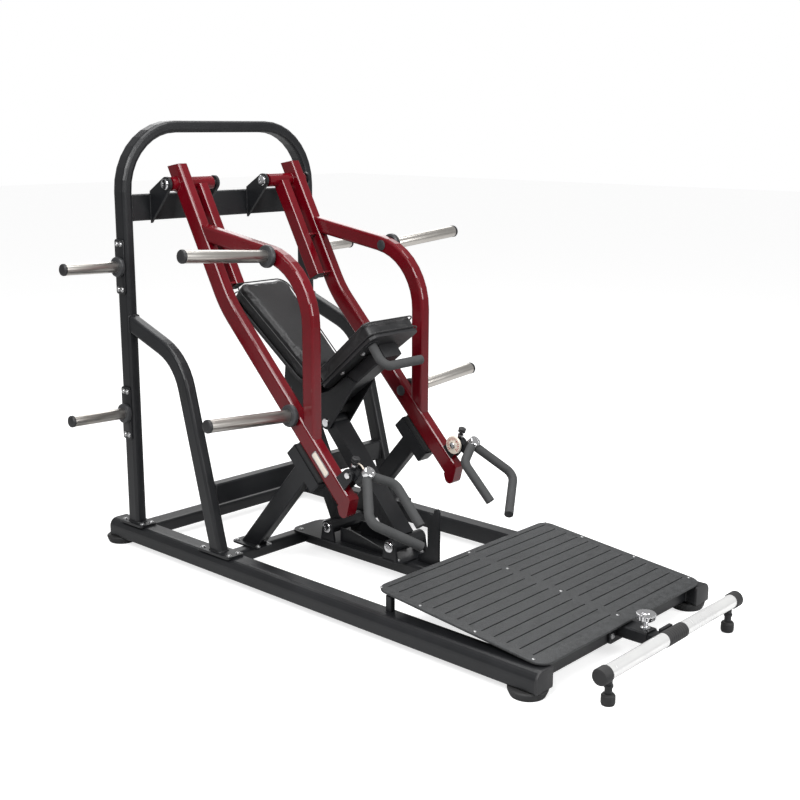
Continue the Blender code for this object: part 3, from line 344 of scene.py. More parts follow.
def makeFinish(name, look):
    # base colour with cloudy change, wear on edges, dust on top, and a bump from the grain
    material = bpy.data.materials.new(name)
    material.use_nodes = True
    tree = material.node_tree
    shader = tree.nodes["Principled BSDF"]

    def group(kind, **values):
        node = add(tree, "Group")
        node.node_tree = groups[kind]
        for key, value in values.items():
            node.inputs[key].default_value = value
        return node

    def blend(mask, first, second):
        mix = add(tree, "Mix", data_type="RGBA")
        tree.links.new(mask, mix.inputs[0])
        for socket, value in ((mix.inputs[6], first), (mix.inputs[7], second)):
            if isinstance(value, tuple):
                socket.default_value = (*value, 1)
            else:
                tree.links.new(value, socket)
        return mix.outputs[2]

    grain = group(look.get("texture", "grain"), Size=look["grain"])
    cloud = group("cloudiness", Size=look.get("clouds", 6.0))
    colour = blend(cloud.outputs["Mask"], look["colour"], look["second"])
    if look.get("speckle"):
        speckle = maths(tree, "MULTIPLY", maths(tree, "SUBTRACT", grain.outputs["Mask"], 0.56), 9.0, True)
        speckle = maths(tree, "MULTIPLY", speckle, look["speckle"])
        colour = blend(speckle, colour, look.get("speckleColour", (0.2, 0.2, 0.2)))
    if look.get("wear"):
        wear = group("edge wear", Reach=look.get("reach", 0.002), Amount=look["wear"],
            Size=look.get("wearSize", 40.0))
        colour = blend(wear.outputs["Mask"], colour, look["bare"])
    if look.get("dust"):
        dust = group("dust", Amount=look["dust"])
        colour = blend(dust.outputs["Mask"], colour, (0.34, 0.33, 0.31))
    tree.links.new(colour, shader.inputs["Base Color"])

    base, spread = look["rough"], look.get("spread", 0.1)
    rough = maths(tree, "MULTIPLY", cloud.outputs["Mask"], spread)
    rough = maths(tree, "ADD", rough, maths(tree, "MULTIPLY", grain.outputs["Mask"], spread * 0.8))
    tree.links.new(maths(tree, "ADD", rough, base - spread * 0.7, True), shader.inputs["Roughness"])
    shader.inputs["Metallic"].default_value = look.get("metal", 0.0)
    shader.inputs["Coat Weight"].default_value = look.get("coat", 0.0)
    shader.inputs["Coat Roughness"].default_value = look.get("coatRough", 0.1)
    shader.inputs["Sheen Weight"].default_value = look.get("sheen", 0.0)
    shader.inputs["Specular IOR Level"].default_value = look.get("specular", 0.5)
    bump = add(tree, "Bump", Strength=1.0, Distance=look["depth"])
    tree.links.new(grain.outputs["Height"], bump.inputs["Height"])
    tree.links.new(bump.outputs[0], shader.inputs["Normal"])
    return material


groups = makeGroups()
looks = {
    "charcoalCoat": dict(colour=(0.0075, 0.008, 0.0092), second=(0.012, 0.0126, 0.0142), rough=0.34,
                         spread=0.08, grain=1300.0, depth=0.00008, wear=0.22, bare=(0.09, 0.09, 0.1),
                         dust=0.01, specular=0.36),
    "crimsonGloss": dict(colour=(0.094, 0.0006, 0.0034), second=(0.122, 0.0012, 0.006), rough=0.2,
                         spread=0.06, grain=240.0, depth=0.00008, coat=0.25, coatRough=0.05, wear=0.1,
                         bare=(0.26, 0.02, 0.03), specular=0.3),
    "satinSteel": dict(texture="turning marks", colour=(0.56, 0.53, 0.49), second=(0.62, 0.6, 0.57),
                       rough=0.3, spread=0.05, metal=1.0, grain=900.0, depth=0.000015, clouds=5.0),
    "brightChrome": dict(colour=(0.82, 0.82, 0.83), second=(0.76, 0.76, 0.78), rough=0.1, spread=0.06,
                         metal=1.0, grain=500.0, depth=0.00001, clouds=30.0),
    "softRubber": dict(colour=(0.0095, 0.0095, 0.0102), second=(0.016, 0.016, 0.017), rough=0.66,
                       grain=1600.0, depth=0.00012, dust=0.06),
    "gripFoam": dict(colour=(0.03, 0.031, 0.032), second=(0.046, 0.047, 0.048), rough=0.74, grain=2200.0,
                     depth=0.00022, speckle=0.15, speckleColour=(0.09, 0.09, 0.09), clouds=14.0),
    "mouldedPlastic": dict(colour=(0.01, 0.01, 0.0112), second=(0.016, 0.016, 0.0175), rough=0.48,
                           grain=1500.0, depth=0.0001),
    "greyCollar": dict(colour=(0.022, 0.023, 0.025), second=(0.034, 0.035, 0.038), rough=0.42, grain=1200.0,
                       depth=0.00008, wear=0.3, bare=(0.12, 0.12, 0.13)),
    "creamEnamel": dict(colour=(0.74, 0.67, 0.58), second=(0.66, 0.58, 0.49), rough=0.34, grain=600.0,
                        depth=0.00006, coat=0.3),
    "redMark": dict(colour=(0.4, 0.01, 0.014), second=(0.32, 0.008, 0.01), rough=0.4, grain=900.0,
                    depth=0.00003),
    "deckCoat": dict(colour=(0.014, 0.015, 0.016), second=(0.04, 0.042, 0.044), rough=0.56, spread=0.2,
                     grain=330.0, depth=0.0012, speckle=0.45, speckleColour=(0.085, 0.087, 0.09), dust=0.02,
                     wear=0.2, bare=(0.15, 0.15, 0.15), clouds=60.0),
    "leatherette": dict(texture="leather grain", colour=(0.0065, 0.0065, 0.0072),
                        second=(0.011, 0.011, 0.0122), rough=0.42, spread=0.1, grain=520.0, depth=0.00026,
                        sheen=0.05, specular=0.42),
    "polishedTube": dict(texture="turning marks", colour=(0.86, 0.86, 0.85), second=(0.78, 0.78, 0.78),
                         rough=0.24, spread=0.06, metal=0.55, grain=700.0, depth=0.00001, clouds=9.0),
    "weldCoat": dict(colour=(0.008, 0.0085, 0.0097), second=(0.0115, 0.012, 0.0135), rough=0.4, grain=1300.0,
                     depth=0.00008),
    "zincSteel": dict(colour=(0.52, 0.52, 0.52), second=(0.44, 0.44, 0.45), rough=0.32, metal=1.0,
                      grain=1100.0, depth=0.00005, clouds=60.0),
}
finishes = {name: makeFinish(name, look) for name, look in looks.items()}
print("finishes made:", len(finishes))


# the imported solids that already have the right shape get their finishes

def finishFor(node):
    if node.startswith("arm_") and node.endswith(("main_tube", "strut", "loop")):
        return "crimsonGloss"
    if node.startswith(("foot_front", "foot_rear")) or "rubber" in node:
        return "softRubber"
    if node.endswith("_board"):
        return "mouldedPlastic"
    if node.endswith("_axle") or node.startswith("link_axle"):
        return "brightChrome"
    return "charcoalCoat"


for nodeName, solid in nodes.items():
    solid.data.materials.clear()
    solid.data.materials.append(finishes[finishFor(nodeName)])

mainBody = "machine_frame"
bodyOf = {"left": "arm_left", "right": "arm_right"}

# one model of each fastener, copied wherever it is needed
boltHead = turned("boltHead", [(0, 0.0115), (0.0016, 0.0115), (0.0017, 0.0092), (0.0042, 0.009),
    (0.0062, 0.0072), (0.0068, 0.0045), (0.004, 0.0042)], 24)
smallScrew = turned("smallScrew", [(-0.001, 0.0062), (0.0004, 0.0062), (0.0014, 0.005), (0.0018, 0.0028),
    (0.001, 0.0026)], 20)


def bolts(name, places, axis, body, source=None, finish="zincSteel"):
    turn = [standing(place, axis) for place in places]
    return done(scatter(source or boltHead, name, turn), finish, body, 30)


# rails: a moulded cap closes each end
railShape = {"y": 0.516, "length": 2.328, "width": 0.094, "height": 0.076, "bottom": 0.03, "round": 0.036,
             "capThick": 0.009}


def makeRailCaps():
    shape = railShape
    for side, sign in sides:
        for end, station, outward in (("Rear", -shape["capThick"] / 2, -1),
                ("Front", shape["length"] + shape["capThick"] / 2, 1)):
            cap = block(f"railCap{end}{side.title()}", (shape["capThick"], shape["width"], shape["height"]))
            pick(cap)
            bpy.ops.object.mode_set(mode="EDIT")
            reach = (shape["width"] / 2 - 0.001, shape["height"] / 2 - 0.001)
            selectEdges(cap, lambda a, b: abs(a.x - b.x) > 0.001 and sign * a.y > reach[0] and a.z > reach[1])
            bpy.ops.mesh.bevel(offset=shape["round"], segments=8, affect="EDGES")
            selectEdges(cap, lambda a, b: abs(a.x - b.x) > 0.001 and abs(a.z) > reach[1] and
                        (a.z < 0 or sign * a.y < -reach[0]))
            bpy.ops.mesh.bevel(offset=0.006, segments=3, affect="EDGES")
            selectEdges(cap, lambda a, b: min(outward * a.x, outward * b.x) > 0.001)
            bpy.ops.mesh.bevel(offset=0.0025, segments=2, affect="EDGES")
            bpy.ops.object.mode_set(mode="OBJECT")
            cap.data.transform(Matrix.Translation(spot(station, sign * shape["y"], shape["bottom"]
                + shape["height"] / 2)))
            done(cap, "mouldedPlastic", mainBody)


makeRailCaps()
print("rail caps made")


# bolts that hold the uprights, braces, posts, linkage and receiver down
frameBoltShape = {"railPlateTop": 0.1163, "railPlateY": 0.514, "basePlateTop": 0.0993, "postY": 0.325,
                  "arch": (0.138, 0.062, 0.024), "brace": (0.7017, 0.082, 0.024), "post": (0.683, 0.066, 0.026),
                  "linkage": ((0.715, 1.285), 0.072), "receiver": (2.2983, 0.058, 0.066)}


def fourSpots(plate, y, z):
    # the corners of a plate: where it is along the machine, then half its bolt spacing each way
    station, along, across = plate
    return [spot(station + dx, y + dy, z) for dx in (-along, along) for dy in (-across, across)]


def makeFrameBolts():
    shape = frameBoltShape
    top, low = shape["railPlateTop"], shape["basePlateTop"]
    for side, sign in sides:
        name, y = side.title(), sign * shape["railPlateY"]
        bolts(f"uprightBolts{name}", fourSpots(shape["arch"], y, top) + fourSpots(shape["brace"], y, top),
              upAxis, mainBody)
        bolts(f"postBolts{name}", fourSpots(shape["post"], sign * shape["postY"], low), upAxis, mainBody)
    stations, half = shape["linkage"]
    bolts("linkageBolts", [spot(x, y, low) for x in stations for y in (-half, half)], upAxis, mainBody)
    station, half, height = shape["receiver"]
    bolts("receiverBolts", [spot(station, y, height) for y in (-half, half)], alongAxis, mainBody)


makeFrameBolts()


# beads of weld where tubes and plates meet
weldShape = {"bumps": 0.14, "step": 0.006}


def beadRound(name, centre, across, up, width, height, radius=0.0032, rim=0.008):
    # a closed bead round a tube's end
    corners = []
    for signU, signV, start in ((1, 1, 0), (-1, 1, 90), (-1, -1, 180), (1, -1, 270)):
        for step in range(4):
            turn = math.radians(start + step * 30)
            corners.append(Vector(centre) + across * (signU * (width / 2 - rim) + rim * math.cos(turn))
                           + up * (signV * (height / 2 - rim) + rim * math.sin(turn)))
    route = []
    for first, second in zip(corners, corners[1:] + corners[:1]):
        parts = max(1, round((second - first).length / weldShape["step"]))
        route += [first.lerp(second, part / parts) for part in range(parts)]
    done(rod(name, route, radius, True, weldShape["bumps"], 2), "weldCoat", mainBody, 60)


def beadLine(name, first, last):
    parts = max(2, round((last - first).length / weldShape["step"]))
    route = [first.lerp(last, part / parts) for part in range(parts + 1)]
    done(rod(name, route, 0.0028, False, weldShape["bumps"], 2), "weldCoat", mainBody, 60)


def makeWelds():
    for side, sign in sides:
        name, out = side.title(), sign * 0.516
        rounds = [("beam", (0.138, sign * 0.4905, 1.479), alongAxis, upAxis, 0.051, 0.111),
                  ("crossbar", (0.633, sign * 0.4905, 0.337), alongAxis, upAxis, 0.051, 0.089),
                  ("braceTop", (0.1755, out, 0.9968), acrossAxis, upAxis, 0.051, 0.073),
                  ("archFoot", (0.138, out, 0.117), alongAxis, acrossAxis, 0.075, 0.051, 0.0035, 0.014),
                  ("braceFoot", (0.695, out, 0.117), alongAxis, acrossAxis, 0.072, 0.051, 0.0035, 0.01)]
        for label, station, depth in (("Rear", 0.12, 0.091), ("Mid", 0.6925, 0.056), ("Front", 2.26, 0.061)):
            rounds.append((f"cross{label}", (station, sign * 0.4685, 0.063), alongAxis, upAxis, depth, 0.057))
        for label, place, *rest in rounds:
            beadRound(f"{label}Weld{name}", spot(*place), *rest)
        for label, y in (("Inner", 0.14), ("Outer", 0.392)):
            for letter, face in (("A", -1), ("B", 1)):
                place = sign * y + face * 0.0062
                beadLine(f"bracketWeld{label}{name}{letter}", spot(0.1645, place, 1.428),
                    spot(0.1645, place, 1.53))


makeWelds()
print("fasteners and welds made")


# sleeves that carry the weight plates, and the shorter ones that store them
sleeveShape = {"weightRadius": 0.025, "weightLength": 0.395, "weightTilt": 4.2,
               "storageRadius": 0.0235, "storageLength": 0.243, "storageTilt": 2.0,
               "collar": 0.024, "plate": (0.06, 0.23, 0.008)}


def makeSleeve(label, node, root, axis, radius, length, body):
    collarLength = sleeveShape["collar"]
    end = length + collarLength
    sleeve = turned(f"{label}Sleeve", [(collarLength - 0.002, radius - 0.001), (collarLength, radius),
        (end - 0.001, radius), (end, radius - 0.0012)], 56)
    capSide = radius + 0.0012
    cap = turned(f"{label}EndCap", [(end - 0.002, capSide - 0.001), (end - 0.001, capSide),
        (end + 0.007, capSide), (end + 0.0105, capSide - 0.0018), (end + 0.013, radius * 0.82),
        (end + 0.0142, radius * 0.5), (end + 0.0145, radius * 0.1)], 48)
    collar = turned(f"{label}Collar", [(0, radius * 1.5), (0.0035, radius * 1.74), (0.006, radius * 1.8),
        (0.017, radius * 1.8), (0.0205, radius * 1.74), (0.023, radius * 1.58), (0.024, radius * 1.35),
        (0.0243, radius * 1.02)], 56)
    matrix = standing(root, axis)
    for piece, finish, slot in ((sleeve, "satinSteel", "satin_steel"), (cap, "mouldedPlastic", "plastic"),
            (collar, "greyCollar", "frame")):
        piece.data.transform(matrix)
        done(piece, finish, body, 30)
    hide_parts(node)


def makeSleeves():
    shape = sleeveShape
    for side, sign in sides:
        name = side.title()
        tilt = math.radians(shape["weightTilt"])
        axis = Vector((0, sign * math.cos(tilt), math.sin(tilt)))
        for level, station, height in (("upper", 0.848, 1.318), ("lower", 0.965, 0.698)):
            makeSleeve(f"weight{level.title()}{name}", f"weight_horn_{level}_{side}",
                       spot(station, sign * 0.3476, height), axis, shape["weightRadius"], shape["weightLength"],
                       bodyOf[side])
            # a plug closes the sleeve's bolt hole on the arm's inner face
            plug = turned(f"armPlug{level.title()}{name}",
                [(0, 0.021), (0.001, 0.0225), (0.003, 0.0225), (0.0048, 0.019), (0.0055, 0.01),
                (0.0056, 0.002)], 36, at=standing(spot(station, sign * 0.294, height), (0, -sign, 0)))
            done(plug, "greyCollar", bodyOf[side])
        tilt = math.radians(shape["storageTilt"])
        axis = Vector((0, sign * math.cos(tilt), math.sin(tilt)))
        for level, height in (("lower", 0.609), ("upper", 1.237)):
            label = f"storage{level.title()}{name}"
            makeSleeve(label, f"storage_horn_{level}_{side}", spot(0.138, sign * 0.5473, height), axis,
                       shape["storageRadius"], shape["storageLength"], mainBody)
            width, tall, thick = shape["plate"]
            plate = block(f"{label}Plate", (width, tall, thick), 0.012, 0.0015,
                at=standing(spot(0.138, sign * 0.5453, height), (0, sign, 0)))
            done(plate, "charcoalCoat", mainBody)
            spots = [spot(0.138 + dx, sign * 0.5493, height + dz) for dx in (-0.013, 0.013)
                for dz in (-0.095, 0.095)]
            bolts(f"{label}Bolts", spots, (0, sign, 0), mainBody)


makeSleeves()
print("sleeves made")


# arms: pivot shafts with chrome caps, closed tube ends, strut plugs and a blank badge
upperArm, lowerArm = slopeFrame(0.5595, 1.0975, -61.0), slopeFrame(0.5595, 1.0975, -45.6)
armShape = {"y": 0.319, "width": 0.05, "depth": 0.078, "upper": 0.634, "strutLength": 0.48, "strutY": 0.2325}


def makeArms():
    shape = armShape
    strut = slopeFrame(0.272, 1.577, -61.0)
    capLine = [(0, 0.0205), (0.001, 0.0225), (0.0055, 0.0225), (0.008, 0.0205), (0.009, 0.016), (0.0092, 0.009),
               (0.0078, 0.0085), (0.0078, 0.002)]
    for side, sign in sides:
        name, body = side.title(), bodyOf[side]
        pivot = [spot(0.272, sign * y, 1.577) for y in (0.134, 0.398)]
        shaft = turned(f"armShaft{name}", [(-0.001, 0.0145), (0.001, 0.015), (0.263, 0.015), (0.265, 0.0145)],
            32, at=standing(pivot[0], (0, sign, 0)))
        caps = [turned(f"armCap{name}{index}", capLine, 40) for index in (0, 1)]
        rims = [turned(f"armCapRim{name}{index}", [(-0.0002, 0.0262), (0.0022, 0.0262), (0.0034, 0.0248),
            (0.0034, 0.0222)], 40) for index in (0, 1)]
        for cap, rim, place, outward in zip(caps, rims, pivot, (-sign, sign)):
            cap.data.transform(standing(place, (0, outward, 0)))
            rim.data.transform(standing(place, (0, outward, 0)))
        done(joined(f"armPivot{name}", [shaft, *caps]), "brightChrome", mainBody, 30)
        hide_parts(f"arm_{side}_axle")
        done(joined(f"armPivotRims{name}", rims), "mouldedPlastic", mainBody, 30)

        cut = math.atan(0.35)
        topPlate = block(f"armTopPlate{name}", (shape["depth"] / math.cos(cut) - 0.001, shape["width"] - 0.001,
            0.003), 0.01, 0.0012)
        local = Matrix.Translation((-shape["upper"] - 0.0012, sign * shape["y"], 0))
        topPlate.data.transform(upperArm @ local @ Matrix.Rotation(-math.pi / 2 + cut, 4, "Y"))
        done(topPlate, "crimsonGloss", body)

        plug = block(f"strutEndPlug{name}", (0.0645, 0.0445, 0.0032), 0.008, 0.0012, at=strut
            @ Matrix.Translation((shape["strutLength"] + 0.0012, sign * shape["strutY"], 0.01))
            @ Matrix.Rotation(math.pi / 2, 4, "Y"))
        done(plug, "mouldedPlastic", body)

        # a blank badge on the outer face, bright with a dark centre
        badge = block(f"armBadge{name}", (0.112, 0.034, 0.0016), 0.007, 0.0006)
        inlay = block(f"armBadgeInlay{name}", (0.104, 0.026, 0.0012), 0.005, 0.0003)
        for piece, lift, finish, slot in ((badge, 0.0008, "zincSteel", "satin_steel"),
                (inlay, 0.0014, "creamEnamel", "cream")):
            turnOut = Matrix.Rotation(-sign * math.pi / 2, 4, "X")
            piece.data.transform(lowerArm @ Matrix.Translation((0.8, sign * (0.344 + lift), 0.002)) @ turnOut)
            done(piece, finish, body)


makeArms()


# weld beads on the crimson arms
def makeArmWelds():
    for side, sign in sides:
        name, body = side.title(), bodyOf[side]
        for label, y in (("Outer", 0.3448), ("Inner", 0.2935)):
            route = [spot(0.272, sign * y, 1.577) + Vector((math.cos(turn), 0, math.sin(turn))) * 0.0305
                     for turn in [index * math.pi / 16 for index in range(32)]]
            done(rod(f"pivotWeld{label}{name}", route, 0.0028, True, 0.14, 2), "crimsonGloss", body,
                60)


makeArmWelds()
print("arms made")


# adjustable handles
handleShape = {"tiltAlong": 0.917, "tiltAbove": 0.098, "swivelAlong": 0.962, "swivelY": 0.318,
    "gripAbove": 0.16, "gripRadius": 0.019, "gripBend": 0.045, "lugFace": 0.0258, "pinGuide": 0.046,
    "grips": (((0.069, -0.11), (0.262, -0.104)), ((0.1845, 0.12), (0.34, -0.051)))}


def makeHandles():
    shape = handleShape
    above = (lowerArm.to_3x3() @ upAxis).normalized()
    along = (lowerArm.to_3x3() @ alongAxis).normalized()
    for side, sign in sides:
        name, body = side.title(), bodyOf[side]
        tiltHead, swivelHead = f"handle_{side}_tilt_head", f"handle_{side}_swivel_head"
        middle = lowerArm @ Vector((shape["tiltAlong"], sign * 0.319, shape["tiltAbove"]))

        # the index disc on the inner lug, with raised red marks
        face = middle - acrossAxis * sign * shape["lugFace"]
        disc = turned(f"indexDisc{name}", [(0.0004, 0.0372), (0.0012, 0.0386), (0.008, 0.0386),
            (0.0098, 0.0368), (0.0101, 0.034), (0.0101, 0.018), (0.0108, 0.0165), (0.0108, 0.002)], 64,
            at=standing(face, (0, -sign, 0)))
        done(disc, "creamEnamel", body, 30)
        tick = block(f"tick{name}", (0.0095, 0.0022, 0.0006), 0.0006, 0.0)
        longTick = block(f"longTick{name}", (0.0135, 0.003, 0.0006), 0.0008, 0.0)
        marks = []
        for index in range(19):
            source, reach = (longTick, 0.027) if index % 3 == 0 else (tick, 0.0287)
            spin = Matrix.Rotation(math.radians(index * 15 - 45), 4, "Z")
            marks.append(copyTo(source, f"mark{name}{index}", standing(face, (0, -sign, 0)) @ spin
                                @ Matrix.Translation((reach, 0, 0.0103))))
        drop(tick, longTick)
        done(joined(f"indexMarks{name}", marks), "redMark", body)
        pinCap = [(0, 0.0115), (0.001, 0.013), (0.005, 0.013), (0.0068, 0.0105), (0.0072, 0.005),
            (0.0072, 0.001)]
        caps = [turned(f"tiltCap{name}{index}", pinCap, 32) for index in (0, 1)]
        caps[0].data.transform(standing(face - acrossAxis * sign * 0.0108, (0, -sign, 0)))
        caps[1].data.transform(standing(middle + acrossAxis * sign * 0.026, (0, sign, 0)))
        done(joined(f"tiltCaps{name}", caps), "brightChrome", body, 30)

        # spring pin with a two-ringed knob, and a collar on its guide
        pinAxis = (above * 0.88 - along * 0.475).normalized()
        foot = middle + pinAxis * shape["pinGuide"]
        knob = turned(f"pullKnob{name}", [(0.0003, 0.0062), (0.007, 0.0062), (0.0085, 0.0115), (0.0112, 0.016),
            (0.0148, 0.0162), (0.0162, 0.012), (0.02, 0.0118), (0.0218, 0.0162), (0.0262, 0.0165),
            (0.0282, 0.0135), (0.0288, 0.003)], 36, at=standing(foot, pinAxis))
        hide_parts(f"handle_{side}_pull_knob")
        done(knob, "mouldedPlastic", f"handle_{side}_pin", 30)
        sleeve = turned(f"pinGuideNut{name}", [(-0.01, 0.0112), (-0.0095, 0.0128), (-0.002, 0.0128),
            (-0.0012, 0.0112), (-0.0006, 0.008)], 6, at=standing(foot, pinAxis))
        done(sleeve, "zincSteel", tiltHead, 30)

        # swivel: dark boss, bright cap, two rubber-covered grips
        head = lowerArm @ Vector((shape["swivelAlong"], sign * shape["swivelY"], shape["gripAbove"]))
        boss = turned(f"swivelBoss{name}", [(-0.0255, 0.0235), (-0.0245, 0.025), (0.003, 0.025),
            (0.004, 0.0238), (0.006, 0.0225)], 40, at=standing(head, above))
        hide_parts(f"handle_{side}_grips")
        done(boss, "charcoalCoat", swivelHead, 30)
        cap = turned(f"swivelCap{name}", [(0.0042, 0.0232), (0.005, 0.0246), (0.0225, 0.0246), (0.0262, 0.0232),
            (0.0282, 0.02), (0.0288, 0.013), (0.0272, 0.012), (0.0272, 0.002)], 48, at=standing(head, above))
        done(cap, "brightChrome", swivelHead, 30)
        for index, (corner, end) in enumerate(shape["grips"]):
            start = Vector(corner).normalized() * 0.02
            flat = [start, Vector(corner), Vector(end)]
            points = [lowerArm @ Vector((shape["swivelAlong"] + p.x, sign * (shape["swivelY"] + p.y),
                shape["gripAbove"])) for p in flat]
            grip = rod(f"grip{name}{'Inner' if index == 0 else 'Outer'}",
                rounded(points, shape["gripBend"], 12), shape["gripRadius"], smoothness=8)
            roundEnds(grip, 0.004)
            done(grip, "gripFoam", swivelHead, 40)


makeHandles()
print("handles made")


# seat: two stuffed pads with piping, the side handle and the bolts under the seat
seatFrame, backFrame = slopeFrame(0.832, 0.809, 38.6), slopeFrame(0.832, 0.809, -39.1)
padShape = {"seatCushion": {"ends": (0.008, 0.428), "halves": (0.113, 0.145), "thick": 0.065, "round": 0.036,
    "cap": 0.008, "node": "seat_cushion", "place": seatFrame},
    "backCushion": {"ends": (-0.556, -0.008), "halves": (0.148, 0.113), "thick": 0.07, "round": 0.05,
    "cap": 0.009, "node": "back_cushion", "place": backFrame}, }
padStuffing = {"voxel": 0.005, "pressure": 4.0, "frames": 20, "shrink": 0.004, "piping": 0.0028}


def stuff(piece, cap, floor):
    # blows the cover up like a cushion, and lets no point move further than the cap
    settings = padStuffing
    pick(piece)
    cloth = piece.modifiers.new("stuffing", "CLOTH")
    cloth.settings.use_pressure = True
    cloth.settings.uniform_pressure_force = settings["pressure"]
    cloth.settings.effector_weights.gravity = 0.0
    cloth.settings.quality = 4
    before = [vertex.co.copy() for vertex in piece.data.vertices]
    scene = bpy.context.scene
    for step in range(1, settings["frames"] + 1):
        scene.frame_set(step)
    bpy.ops.object.modifier_apply(modifier=cloth.name)
    scene.frame_set(1)
    for vertex, first in zip(piece.data.vertices, before):
        move = vertex.co - first
        if move.length > cap:
            vertex.co = first + move * cap / move.length
        vertex.co.z = max(vertex.co.z, floor)


def padOutline(shape, inset, z):
    # the pad's rounded outline, pulled in by inset
    (first, last), (nearHalf, farHalf) = shape["ends"], shape["halves"]
    first, last, nearHalf, farHalf = first + inset, last - inset, nearHalf - inset, farHalf - inset
    corners = [Vector((first, -nearHalf, z)), Vector((last, -farHalf, z)), Vector((last, farHalf, z)),
               Vector((first, nearHalf, z))]
    edge = (corners[3] + corners[0]) / 2
    route = rounded([edge, *corners, edge], max(shape["round"] - inset, 0.012), 8)
    return route[:-1]


def makePad(name):
    shape = padShape[name]
    shrink = padStuffing["shrink"]
    (first, last), (nearHalf, farHalf) = shape["ends"], shape["halves"]
    thick = shape["thick"]
    letGo()
    bpy.ops.mesh.primitive_cube_add(size=1, location=((first + last) / 2, 0, -thick / 2),
        scale=(last - first - 2 * shrink, 2 * nearHalf, thick - shrink))
    pad = bpy.context.object
    pad.name = name
    applyAll(pad)
    bpy.ops.object.mode_set(mode="EDIT")
    middle = (first + last) / 2
    selectFaces(pad, lambda face: face.calc_center_median().x > middle + 0.1)
    bpy.ops.transform.resize(value=(1, (farHalf - shrink) / nearHalf, 1), center_override=(last, 0, -thick / 2))
    selectFaces(pad, lambda face: face.calc_center_median().x < middle - 0.1)
    bpy.ops.transform.resize(value=(1, (nearHalf - shrink) / nearHalf, 1),
        center_override=(first, 0, -thick / 2))
    selectEdges(pad, lambda a, b: abs(a.z - b.z) > 0.03)
    bpy.ops.mesh.bevel(offset=shape["round"], segments=8, affect="EDGES")
    selectEdges(pad, lambda a, b: abs(a.z - b.z) < 0.0001 and a.z > -0.01)
    bpy.ops.mesh.bevel(offset=0.01, segments=4, affect="EDGES")
    selectEdges(pad, lambda a, b: abs(a.z - b.z) < 0.0001 and a.z < -thick + 0.01)
    bpy.ops.mesh.bevel(offset=0.004, segments=2, affect="EDGES")
    bpy.ops.object.mode_set(mode="OBJECT")
    remesh = pad.modifiers.new("even", "REMESH")
    remesh.mode = "VOXEL"
    remesh.voxel_size = padStuffing["voxel"]
    bpy.ops.object.modifier_apply(modifier=remesh.name)
    stuff(pad, shape["cap"], -thick)
    # the cover pulls in along the seam below the piping
    seam = -0.014
    for vertex in pad.data.vertices:
        nearness = math.exp(-((vertex.co.z - seam) / 0.0035) ** 2)
        pull = 1 - 0.01 * nearness
        vertex.co.x = middle + (vertex.co.x - middle) * pull
        vertex.co.y *= pull
    pick(pad)
    smooth = pad.modifiers.new("smooth", "SUBSURF")
    smooth.levels = smooth.render_levels = 1
    bpy.ops.object.modifier_apply(modifier=smooth.name)
    pad.data.transform(shape["place"])
    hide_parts(shape["node"])
    done(pad, "leatherette", "seat_carriage", 60)

    for label, z, inset in (("Top", -0.0125, -0.001), ("Base", -thick + 0.0055, 0.0)):
        route = padOutline(shape, inset, z)
        dense = []
        for a, b in zip(route, route[1:] + route[:1]):
            parts = max(1, round((b - a).length / 0.02))
            dense += [a.lerp(b, part / parts) for part in range(parts)]
        piping = rod(f"{name}Piping{label}", dense, padStuffing["piping"], True, 0.0, 3)
        piping.data.transform(shape["place"])
        done(piping, "leatherette", "seat_carriage", 60)


for padName in padShape:
    makePad(padName)
print("pads made")


